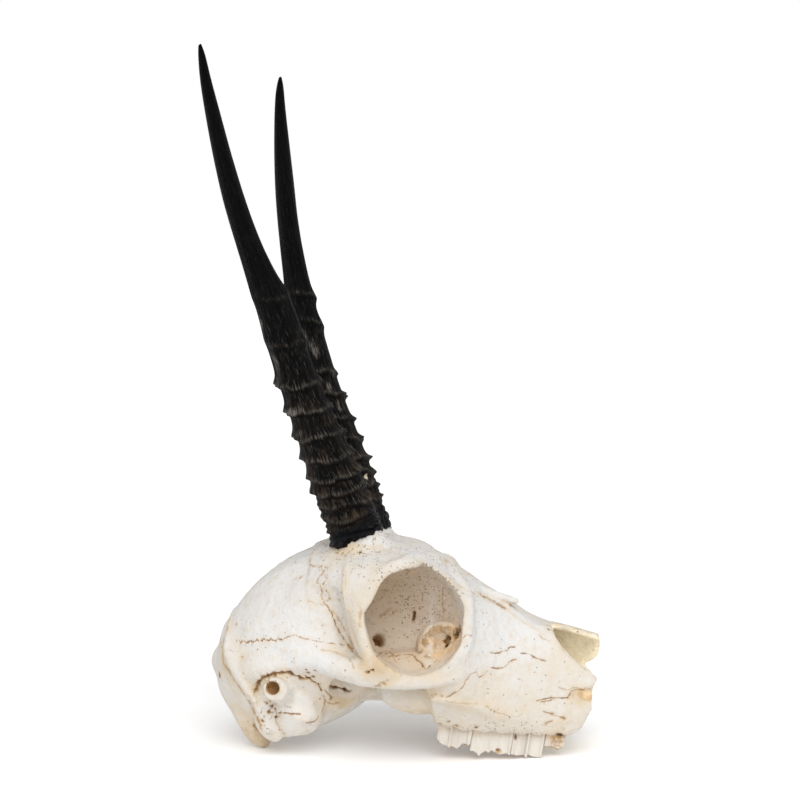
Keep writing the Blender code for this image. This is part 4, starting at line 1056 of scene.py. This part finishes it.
# distance from the base, radius between the rings, and how far the middle lies forward of the plain bow
SHAPE = {
    -1: ((-1.0, 7.5, 0.0), (6, 7.4, 0.2), (12, 7.25, 0.6), (20, 7.1, 0.9), (30, 6.6, 1.1), (44, 5.75, 0.9),
         (59, 5.45, 1.2), (68, 5.35, 1.5), (75, 4.95, 1.25), (84, 4.1, 0.3), (93, 3.5, -0.4),
         (105, 3.1, -0.9), (117, 2.62, -1.0), (129, 2.15, -0.9), (140, 1.55, -0.8), (147, 1.0, -0.5),
         (150.6, 0.35, -0.4)),
    1: ((-1.0, 7.3, 0.0), (6, 7.3, 0.2), (12, 7.2, 0.5), (20, 7.1, 0.6), (30, 6.6, 0.6), (44, 5.7, 0.4),
        (56, 5.2, 0.3), (64, 4.8, 0.3), (72, 4.2, 0.4), (78, 3.85, 0.45), (86, 3.65, 0.25), (99, 3.2, 0.2),
        (112, 2.95, 0.25), (126, 2.35, 0.1), (139, 1.55, -0.2), (144, 1.05, -0.2), (147.3, 0.35, -0.2)),
}
# rings: distance from the base, rise in front, rise behind
RINGS = {
    -1: ((0.9, 0.5, 0.55), (4.4, 0.55, 0.35), (8.0, 0.6, 0.5), (11.9, 0.85, 0.35), (16.2, 1.15, 0.7),
         (20.4, 1.2, 0.6), (26.3, 1.25, 0.65), (33.2, 1.25, 0.7), (41.2, 1.15, 0.8), (49.2, 0.9, 0.8),
         (62.0, 0.5, 0.25), (76.0, 0.45, 0.1)),
    1: ((0.4, 0.45, 0.5), (3.4, 0.5, 0.35), (8.0, 0.7, 0.5), (12.0, 0.9, 0.4), (16.4, 1.2, 0.6),
        (21.0, 1.25, 0.6), (27.0, 1.2, 0.6), (33.8, 1.25, 0.7), (41.5, 1.3, 0.8), (48.9, 0.8, 0.6),
        (65.2, 0.7, 0.3), (74.2, 0.75, 0.3)),
}
RING_TILT = 1.5
# rubbed grey patches: distance from the base, turn from the front in degrees, half length, half turn
SCUFFS = {
    -1: ((69.2, 214.0, 4.2, 8.0), (58.6, 224.0, 5.2, 14.0), (51.2, 220.0, 2.2, 24.0),
         (42.6, 232.0, 1.3, 32.0), (36.0, 228.0, 1.2, 18.0)),
    1: ((56.4, 286.0, 3.4, 19.0), (47.8, 329.0, 1.8, 10.0), (43.6, 300.0, 1.8, 9.0), (36.7, 310.0, 2.4, 8.0),
        (60.5, 262.0, 2.0, 14.0), (56.0, 140.0, 5.0, 12.0)),
}
# the one chip, on the left horn: the same numbers
CHIP = (13.2, 312.0, 1.6, 6.5)


def horn_mesh(name, side):
    rng = np.random.default_rng(70 + side)
    length = np.linalg.norm(HORN_TIP[side] - HORN_BASE * (1, side, 1))
    low = np.arange(-0.6, RINGED_REACH, RINGED_STEP)
    high = np.linspace(RINGED_REACH, length - 0.62, PLAIN_ROWS)
    reach = np.concatenate((low, high))[:, None]
    turn = (np.arange(HORN_SIDES) / HORN_SIDES * 2 * math.pi)[None, :]
    table = np.array(SHAPE[side])
    smooth = through(table, 8)
    radius = np.interp(reach, smooth[:, 0], smooth[:, 1])
    forward = np.interp(reach, smooth[:, 0], smooth[:, 2])

    def ripple(beat_list, drift):
        total = 0.0
        for beat, share in beat_list:
            slow = drift * np.sin(reach / rng.uniform(9, 15) + rng.uniform(0, 6.3))
            total = total + share * np.sin(beat * turn + rng.uniform(0, 6.3) + slow)
        return total

    # lengthwise grooves, fine and fading to the polished tip
    grooves = ripple(((11, 0.5), (17, 0.6), (23, 0.8), (29, 0.8), (37, 0.7)), 1.3)
    grooved = 0.055 * np.interp(reach, (0, 45, 80, 110, 150), (0.9, 1.25, 0.8, 0.35, 0.1))
    front = np.cos(turn)
    rise = np.zeros((len(reach), HORN_SIDES))
    crest_highlight = np.zeros_like(rise)
    step = np.zeros_like(rise)
    order = np.zeros_like(rise)
    for place, ahead, behind in RINGS[side]:
        wander = ripple(((2, 0.30), (3, 0.30), (5, 0.26), (8, 0.20), (13, 0.12)), 0.0)
        from_crest = reach - (place - RING_TILT * front + 0.85 * wander)
        broad = 1.0 if place < 55 else 2.6
        up = np.where(from_crest > 0, (1.15 + 0.45 * (1 - front)) * broad, (0.74 - 0.12 * front) * broad)
        shape = np.exp(-np.abs(from_crest / up) ** 1.5)
        size = 2.0 * behind + (ahead * 1.1 - 2.0 * behind) * np.clip(0.5 + 0.5 * front, 0, 1) ** 1.5
        broken = ripple(((4, 0.5), (7, 0.5), (11, 0.4), (17, 0.3)), 0.0)
        size = size * (0.72 + 0.28 * np.abs(front)) * (1.0 + 0.30 * broken)
        order += from_crest > -0.9
        rise = np.maximum(rise, size * shape)
        # painted light: a grey highlight on each ring crest, and a painted shadow in the step beneath it
        crest_highlight = np.maximum(crest_highlight, swell(from_crest, 0.35, 0.55) * np.clip(size * 1.2, 0, 1))
        step = np.maximum(step, swell(from_crest, -0.95, 0.65) * np.clip(size * 1.2, 0, 1))
    # close wavy growth lines in the lowest part
    lines = np.sin((reach + RING_TILT * front + 0.5 * ripple(((2, 0.5), (5, 0.4)), 0.0)) * 2 * math.pi / 1.7)
    rise = rise + 0.24 * lines * np.interp(reach, (0, 7, 14, 22), (1.0, 0.9, 0.5, 0.0))
    foot = np.clip((7.0 + 1.6 * ripple(((2, 0.5), (4, 0.5), (7, 0.3)), 0.0) - reach) / 1.6, 0, 1)
    lumps = 0.10 * ripple(((2, 0.7), (3, 0.6), (5, 0.4)), 2.2)
    size = radius + rise + grooved * grooves + lumps * np.interp(reach, (0, 80, 140), (1.0, 0.6, 0.1))
    # ragged lower rim
    rim = 0.45 * ripple(((2, 0.4), (5, 0.5), (9, 0.5), (16, 0.4)), 0.0)
    rim = rim + 1.8 * np.clip(side * np.sin(turn), 0, 1) ** 1.5 - 0.9 * np.clip(-front, 0, 1)
    rim = rim + (0.5 if side < 0 else -2.4) * np.clip(front, 0, 1)
    drawn = reach + rim * np.clip(1.0 - (reach + 0.6) / 6.0, 0, 1)
    size = size * np.interp(reach, (-0.6, -0.3, 0.3), (0.93, 0.985, 1.0))

    centres = np.array([horn_point(side, r / length) for r in reach[:, 0]])
    ways = np.array([horn_way(side, r / length) for r in reach[:, 0]])
    outward = np.cross(ways, (1.0, 0.0, 0.0))
    outward /= np.linalg.norm(outward, axis=1)[:, None]
    ahead = np.cross(outward, ways)
    rows = centres[:, None] + ahead[:, None] * (forward + size * np.cos(turn))[..., None]
    rows = rows + outward[:, None] * (size * np.sin(turn))[..., None]
    rows = rows + ways[:, None] * (drawn - reach)[..., None]
    count = len(reach)
    inner = centres[0] + (rows[0] - centres[0]) * 0.80 + ways[0] * 0.5
    floor = centres[0] + (rows[0] - centres[0]) * 0.30 + ways[0] * 0.9
    top = centres[-1] + (rows[-1] - centres[-1]) * 0.55 + ways[-1] * 0.28
    spots = np.concatenate((floor[None], inner[None], rows, top[None])).reshape(-1, 3)
    count += 3
    cells = np.arange(count * HORN_SIDES).reshape(count, HORN_SIDES)
    nextcell = np.roll(cells, -1, axis=1)
    quads = np.stack((cells[:-1], nextcell[:-1], nextcell[1:], cells[1:]), -1).reshape(-1, 4)
    triangles = np.vstack((quads[:, [0, 1, 2]], quads[:, [0, 2, 3]]))
    ends = np.array((floor.mean(0), rows[-1].mean(0) + ways[-1] * 0.42))
    spots = np.vstack((spots, ends))
    first, last = len(spots) - 2, len(spots) - 1
    triangles = np.vstack((
        triangles,
        np.stack((nextcell[0], cells[0], np.full(HORN_SIDES, first)), 1),
        np.stack((cells[-1], nextcell[-1], np.full(HORN_SIDES, last)), 1),
    ))

    def whole(values):
        values = np.broadcast_to(values, (len(reach), HORN_SIDES))
        return np.concatenate((values[:1], values[:1], values, values[-1:])).ravel()

    scuff = np.zeros_like(rise)
    degrees = np.degrees(turn)
    for place, angle, half, spread in SCUFFS[side]:
        off = (degrees - angle + 180) % 360 - 180
        scuff = np.maximum(scuff, np.exp(-(((reach - place) / half) ** 2 + (off / spread) ** 2) * 1.2))
    place, angle, half, spread = CHIP
    off = (degrees - angle - 4.0 * (reach - place) + 180) % 360 - 180
    chip = np.exp(-(((reach - place) / half) ** 2 + (off / spread) ** 2) ** 2) * (side > 0)
    space = np.stack((whole(7 * np.cos(turn)), whole(7 * np.sin(turn)), whole(reach + 9.0 * order)), 1)
    masks = {
        "ring": whole(crest_highlight), "step": whole(step), "scuff": whole(scuff), "chip": whole(chip),
        "foot": whole(foot), "up_the_horn": whole(reach / length),
    }
    masks = [(label, np.append(values, (0.0, 0.0))) for label, values in masks.items()]
    masks.append(("horn_space", np.vstack((space, (0, 0, 0), (0, 0, length)))))
    return mesh_piece(name, spots + SHIFT, triangles, masks)


# streaks that run up a horn, finer towards its tip because they follow its girth
horn_streaks, inside, out = group_with(
    "horn_streaks",
    (("Place", "Vector", None), ("Fineness", "Float", 1.0)),
    (("Streaks", "Float"), ("Fine", "Float"), ("Cloud", "Float")),
)
drawn_out = {0: inside["Place"], 1: (1.0, 1.0, 0.10)}
long_way = new_node(horn_streaks, "VectorMath", drawn_out, operation="MULTIPLY").outputs[0]
streaks = noise(horn_streaks, long_way, inside["Fineness"], 5.0, 0.65)
thin = noise(horn_streaks, long_way, 5.5, 3.0, 0.6)
cloud = noise(horn_streaks, inside["Place"], 0.22, 4.0)
for label, value in (("Streaks", streaks), ("Fine", thin), ("Cloud", cloud)):
    horn_streaks.links.new(value, out[label])

HORN_BLACK = (0.0009, 0.0010, 0.0013)
HORN_BLUE = (0.0024, 0.0030, 0.0050)
HORN_GREY = (0.135, 0.120, 0.100)
HORN_BROWN = (0.085, 0.054, 0.032)
HORN_SCUFF = (0.190, 0.170, 0.145)
HORN_CHIP = (0.62, 0.57, 0.42)
for side, word in ((-1, "right"), (1, "left")):
    sheath = horn_mesh(f"{word}_ringed_sheath", side)
    horn = bpy.data.materials.new(f"{word}_black_horn")
    horn.use_nodes = True
    tree = horn.node_tree
    skin = tree.nodes["Principled BSDF"]
    place = new_node(tree, "Attribute", attribute_name="horn_space").outputs["Vector"]
    streak = placed(tree, horn_streaks, Place=place, Fineness=2.6)
    high_up = mask_of(tree, "up_the_horn")
    ringed = mask_of(tree, "ring")
    both = sums(tree, "ADD", times(tree, streak["Streaks"], 0.6), times(tree, streak["Fine"], 0.4))
    marked = times(tree, ranged(tree, both, 0.54, 0.68), ranged(tree, high_up, 0.30, 0.55, 1.0, 0.18))
    colour = tinted(tree, marked, HORN_BLACK, HORN_GREY)
    low_down = ranged(tree, high_up, 0.03, 0.36, 1.0, 0.0)
    brown = times(tree, low_down, ranged(tree, streak["Cloud"], 0.44, 0.66, 0.0, 1.0))
    brown = times(tree, brown, ranged(tree, both, 0.44, 0.58, 0.1, 1.0))
    colour = tinted(tree, brown, colour, HORN_BROWN)
    # painted highlight on the ring crests, then painted shadow in the steps below them
    crest_highlight = times(tree, ringed, ranged(tree, both, 0.46, 0.64, 0.0, 0.9))
    colour = tinted(tree, crest_highlight, colour, HORN_GREY)
    colour = tinted(tree, times(tree, mask_of(tree, "step"), 0.7), colour, HORN_BLACK)
    # the foot of each horn is glossier, and its blue tint is a painted sheen
    foot = mask_of(tree, "foot")
    colour = tinted(tree, times(tree, foot, 0.8), colour, HORN_BLUE)
    rubbed = times(tree, mask_of(tree, "scuff"), ranged(tree, both, 0.42, 0.60, 0.0, 1.5))
    rubbed = times(tree, rubbed, ranged(tree, streak["Cloud"], 0.36, 0.60, 0.30, 1.0))
    colour = tinted(tree, ranged(tree, rubbed, 0.12, 0.85, 0.0, 0.95), colour, HORN_SCUFF)
    colour = tinted(tree, ranged(tree, mask_of(tree, "chip"), 0.3, 0.7), colour, HORN_CHIP)
    tree.links.new(colour, skin.inputs["Base Color"])
    rough = ranged(tree, high_up, 0.30, 0.80, 0.50, 0.34)
    rough = sums(tree, "ADD", rough, ranged(tree, streak["Streaks"], 0.3, 0.7, -0.08, 0.12))
    rough = sums(tree, "SUBTRACT", rough, times(tree, foot, 0.14))
    tree.links.new(rough, skin.inputs["Roughness"])
    fine = sums(tree, "ADD", streak["Streaks"], times(tree, streak["Fine"], 0.7))
    relief = new_node(tree, "Bump", {"Strength": 1.0, "Distance": 0.0006, "Height": fine}).outputs["Normal"]
    tree.links.new(relief, skin.inputs["Normal"])
    skin.inputs["Specular IOR Level"].default_value = 0.08
    sheath.data.materials.append(horn)
    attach(sheath, "root")
    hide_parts(f"{word}_horn_sheath")


# The cheek teeth
# Four worn teeth a side in sockets of the jaw: enamel folds with narrow ribs on the cheek, dentine inside.
# The rearmost is chipped at its front corner, and the foremost is broken open, brown within.
TOOTH_STEP = 0.30
TOOTH_LEAN = 0.16
# x of back and front, cheek y at both, depth, neck height, cheek ribs (share, half width, rise)
TEETH = {
    "molar_3": (8.6, 18.56, 19.5, 19.7, 8.2, 9.3, ((0.40, 0.42, 0.45), (0.96, 0.62, 0.65))),
    "molar_2": (18.64, 30.56, 19.6, 17.8, 8.4, 8.2,
                ((0.07, 0.35, 0.20), (0.50, 0.42, 0.55), (0.975, 0.40, 0.55))),
    "molar_1": (30.64, 39.98, 17.7, 15.1, 7.6, 7.4,
                ((0.07, 0.35, 0.15), (0.50, 0.40, 0.50), (0.96, 0.42, 0.45))),
    "premolar_4": (40.14, 46.2, 15.0, 12.9, 6.6, 6.6, ((0.14, 0.30, 0.25), (0.80, 0.40, 0.30))),
}
# worn lower edge of each tooth on the cheek side: x, height
WORN = {
    "molar_3": ((6.5, 8.5), (8.0, 6.8), (9.2, 5.0), (11.2, 3.9), (12.9, 3.9), (14.0, 3.3), (14.9, 4.0),
                (15.5, 4.9), (17.2, 5.0), (18.2, 4.0), (19.5, 3.8)),
    "molar_2": ((15.5, 3.6), (17.0, 2.7), (18.6, 2.9), (19.8, 1.9), (20.6, 1.0), (21.3, 1.9), (22.4, 2.4),
                (23.4, 1.9), (24.2, 2.6), (25.2, 2.2), (26.0, 1.5), (27.0, 1.4), (28.2, 1.8), (29.4, 1.5),
                (30.6, 1.8)),
    "molar_1": ((28.5, 1.4), (30.3, 1.4), (31.6, 0.9), (33.0, 0.9), (34.2, 0.4), (34.9, 0.9), (36.0, 0.2),
                (37.4, 0.0), (38.6, 0.1), (40.5, 0.0)),
    "premolar_4": ((38.0, 3.4), (40.4, 3.4), (42.0, 3.2), (43.6, 2.3), (45.2, 2.6), (46.2, 4.2), (47.0, 5.5)),
}
# outline of a crown from above: share of the way forward, and how far in from the cheek
CHEEK_LINE = ((0.0, 0.32), (0.03, 0.28), (0.22, 0.30), (0.40, 0.75), (0.50, 0.80), (0.60, 0.75),
              (0.78, 0.30), (0.97, 0.28), (1.0, 0.32))
TONGUE_LINE = ((0.97, 0.50), (0.90, 0.82), (0.76, 0.98), (0.62, 0.88), (0.51, 0.72), (0.40, 0.88),
               (0.24, 0.98), (0.10, 0.82), (0.03, 0.50))


def tooth_plan(back, front, back_y, front_y, depth):
    """Crown seen from below: cheek side with its two lobes, then the tongue side back again."""
    start, row = np.array((back, back_y)), np.array((front - back, front_y - back_y))
    inward = np.array((row[1], -row[0])) / np.linalg.norm(row)
    spots = [start + row * share + inward * inset for share, inset in CHEEK_LINE]
    spots += [start + row * share + inward * depth * inset for share, inset in TONGUE_LINE]
    return [tuple(spot) for spot in spots], start, row, inward


def tooth_field(p, name, seed):
    """Distance from the skin of a tooth on the right, where y counts outward."""
    back, front, back_y, front_y, depth, neck, ribs = TEETH[name]
    x, y, z = p.T
    plan, start, row, inward = tooth_plan(back, front, back_y, front_y, depth)
    straight = x - np.minimum(z - neck, 0.0) * TOOTH_LEAN
    tuck = 0.08 * np.clip((z - neck + 1.5) / 2.0, 0.0, 1.0) + 0.14 * np.clip((neck - 3.5 - z) / 5.0, 0.0, 1.0)
    tooth = outline_field(straight, y, plan) + tuck
    for share, half, rise in ribs:
        spot = start + row * share + inward * (half - rise + 0.25)
        rib = np.hypot(straight - spot[0], y - spot[1]) - half
        tooth = joined(tooth, rib, 0.35)
    tooth = tooth + 0.05 * waves(p * (1, 1, 0.35), 1.8, seed)
    worn = np.interp(x, *np.array(WORN[name]).T)
    tongue = np.clip((np.interp(x, (back, front), (back_y, front_y)) - y) / depth, 0.0, 1.0)
    worn = worn * (1 - 0.35 * tongue) + 0.9 * np.sin(tongue * 9.0) * 0.35 + 0.12 * waves(p, 1.2, seed + 1)
    tooth = -joined(-tooth, -(worn - z), 0.30)
    if name == "premolar_4":
        hole = egg(p, (43.4, 14.9, 4.5), (1.9, 2.6, 2.2))
        tooth = cut(tooth, hole, 0.2)
        tooth = cut(tooth, egg(p, (44.2, 14.0, 6.9), (0.9, 1.6, 0.8)), 0.2)
        tooth = cut(tooth, limb(p, [(41.9, 15.6, 6.4), (42.7, 15.2, 2.6)], (0.35, 0.6)), 0.2)
        tooth = tooth + 0.22 * waves(p, 1.3, 78) * np.clip((x - 42.0) / 1.5, 0.0, 1.0)
    else:
        for share in (0.27, 0.74):
            spot = start + row * share + inward * depth * 0.5
            floor = float(np.interp(spot[0] - 1.0, *np.array(WORN[name]).T))
            basin = egg(p, (spot[0] - 1.0, spot[1], floor * 0.6), (1.5, 2.3, 1.8))
            tooth = cut(tooth, basin, 0.25)
    if name == "molar_2":
        tooth = cut(tooth, egg(p, (26.4, 18.6, 2.1), (1.0, 1.1, 1.2)), 0.15)
    if name == "molar_3":
        tooth = cut(tooth, egg(p, (16.6, 19.6, 3.6), (1.7, 3.2, 1.4)), 0.2)
    tooth = -joined(-tooth, -(z - neck - 3.2), 0.4)
    return np.maximum(tooth, -z)


ENAMEL_WHITE = (0.72, 0.695, 0.645)
ENAMEL_SHADE = (0.58, 0.535, 0.46)
DENTINE = (0.50, 0.30, 0.12)
TOOTH_DARK = (0.10, 0.045, 0.02)
enamel = bpy.data.materials.new("worn_enamel")
enamel.use_nodes = True
tree = enamel.node_tree
skin = tree.nodes["Principled BSDF"]
where = new_node(tree, "TexCoord").outputs["Object"]
grain = placed(tree, dry_grain, Position=where, Pore_Share=0.05, Pore_Size=1100.0, Seed=3.0)
upright = new_node(tree, "VectorMath", {0: where, 1: (1.0, 1.0, 0.12)}, operation="MULTIPLY").outputs[0]
growth = noise(tree, upright, 900.0, 4.0, 0.6)
colour = tinted(tree, ranged(tree, growth, 0.42, 0.72, 0.0, 0.55), ENAMEL_WHITE, ENAMEL_SHADE)
warm_mask = times(tree, mask_of(tree, "warm"), ranged(tree, grain["Mottle"], 0.3, 0.6, 0.4, 1.1), True)
colour = tinted(tree, warm_mask, colour, DENTINE)
# painted shade in the chips and holes of the teeth
colour = tinted(tree, mask_of(tree, "crack_and_shade"), colour, TOOTH_DARK)
tree.links.new(colour, skin.inputs["Base Color"])
tree.links.new(ranged(tree, growth, 0.3, 0.7, 0.34, 0.55), skin.inputs["Roughness"])
rise = sums(tree, "ADD", growth, grain["Height"])
relief = new_node(tree, "Bump", {"Strength": 0.3, "Distance": 0.0002, "Height": rise}).outputs["Normal"]
tree.links.new(relief, skin.inputs["Normal"])

for number, name in enumerate(TEETH):
    back, front, back_y, front_y, depth, neck, _ = TEETH[name]
    low = np.array((back - 2.4, min(back_y, front_y) - depth - 1.5, -0.9))
    high = np.array((front + 1.4, max(back_y, front_y) + 1.5, neck + 4.2))
    tooth_axes = [in_steps((low[a], high[a], TOOTH_STEP)) for a in range(3)]
    for side, word in ((-1, "right"), (1, "left")):
        seed = 100 + number * 10 + (side > 0) * 5

        def shape(p, name=name, seed=seed):
            return tooth_field(p, name, seed)

        spots, faces = only_largest(*draw_skin(filled(tooth_axes, shape), tooth_axes))
        spots = settle(shape, spots, 1, 0.15)
        x, y, z = spots.T
        # warm along the gum and on the worn inner edge, with one brown break; painted shade darkens the chips
        # and holes
        gum = np.exp(-(((z - neck + 0.2) / 1.1) ** 2))
        below = np.clip(1.0 - (z - np.interp(x, *np.array(WORN[name]).T)) / 1.2, 0, 1)
        inner = np.clip((np.interp(x, (back, front), (back_y, front_y)) - y - 1.0) / 1.5, 0, 1)
        warm = 0.28 * gum + 0.75 * below * inner + 0.12
        crack_and_shade = np.zeros(len(spots))
        if name == "premolar_4":
            within = 1.5 * patch(spots, (43.6, 13.4, 4.8), (1.9, 2.2, 2.3))
            warm = warm + within * (0.55 + 0.6 * waves(spots, 1.1, 77))
            crack_and_shade = 0.8 * patch(spots, (44.2, 12.9, 6.9), (1.2, 1.6, 0.9))
        if name == "molar_2":
            warm = warm + np.clip(2.6 * patch(spots, (26.3, 18.0, 2.7), (1.1, 1.6, 1.0)) - 0.8, 0, 1)
            crack_and_shade = np.clip(2.0 * patch(spots, (26.0, 18.0, 3.1), (0.8, 1.4, 0.5)) - 0.7, 0, 0.9)
        if name == "molar_1":
            crack_and_shade = np.clip(2.2 * patch(spots, (31.2, 17.4, 6.9), (0.55, 1.6, 1.2)) - 0.8, 0, 1)
        if name == "molar_3":
            crack_and_shade = np.clip(2.2 * patch(spots, (17.9, 19.2, 4.4), (0.8, 2.2, 0.8)) - 0.8, 0, 1)
        spots = spots * (1, side, 1)
        if side < 0:
            faces = faces[:, ::-1]
        masks = (("warm", np.clip(warm, 0, 1)), ("crack_and_shade", crack_and_shade))
        tooth = mesh_piece(f"{word}_{name}_crown", spots + SHIFT, faces, masks)
        tooth.data.materials.append(enamel)
        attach(tooth, "root")
        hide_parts(f"{word}_{name}")


# The table and the light
# A wide pale table, lit a little from within, under one broad soft light from the front in a white room.
TABLE_COLOUR, TABLE_GLOW = (0.90, 0.90, 0.90), 0.17
TABLE_REACH, TABLE_POINTS = 30.0, 25
across = np.linspace(-TABLE_REACH, TABLE_REACH, TABLE_POINTS) / MM
spots = np.array([(x, y, 0.0) for y in across for x in across])
cells = np.arange(len(spots)).reshape(len(across), len(across))
faces = np.stack((cells[:-1, :-1], cells[:-1, 1:], cells[1:, 1:], cells[1:, :-1]), -1).reshape(-1, 4)
table = mesh_piece("pale_table", spots, faces)
paper = bpy.data.materials.new("pale_table")
paper.use_nodes = True
skin = paper.node_tree.nodes["Principled BSDF"]
skin.inputs["Base Color"].default_value = (*TABLE_COLOUR, 1.0)
skin.inputs["Roughness"].default_value = 1.0
skin.inputs["Specular IOR Level"].default_value = 0.0
skin.inputs["Emission Color"].default_value = (*TABLE_COLOUR, 1.0)
skin.inputs["Emission Strength"].default_value = TABLE_GLOW
table.data.materials.append(paper)

LIGHT_FROM, LIGHT_STRENGTH, LIGHT_SPREAD = (0.14, -0.95, 1.05), 2.18, 54.0
ROOM_LIGHT = 0.54
lamp = bpy.data.lights.new("soft_light", "SUN")
lamp.energy = LIGHT_STRENGTH
lamp.angle = math.radians(LIGHT_SPREAD)
holder = bpy.data.objects.new("soft_light", lamp)
holder.rotation_euler = Vector(LIGHT_FROM).to_track_quat("Z", "Y").to_euler()
bpy.context.scene.collection.objects.link(holder)
world = bpy.data.worlds.new("white_room")
world.use_nodes = True
tree = world.node_tree
seen = new_node(tree, "LightPath").outputs["Is Camera Ray"]
tree.links.new(ranged(tree, seen, 0.0, 1.0, ROOM_LIGHT, 1.0), tree.nodes["Background"].inputs["Strength"])
tree.nodes["Background"].inputs["Color"].default_value = (1.0, 1.0, 1.0, 1.0)
bpy.context.scene.world = world
bpy.context.scene.view_settings.view_transform = "Standard"
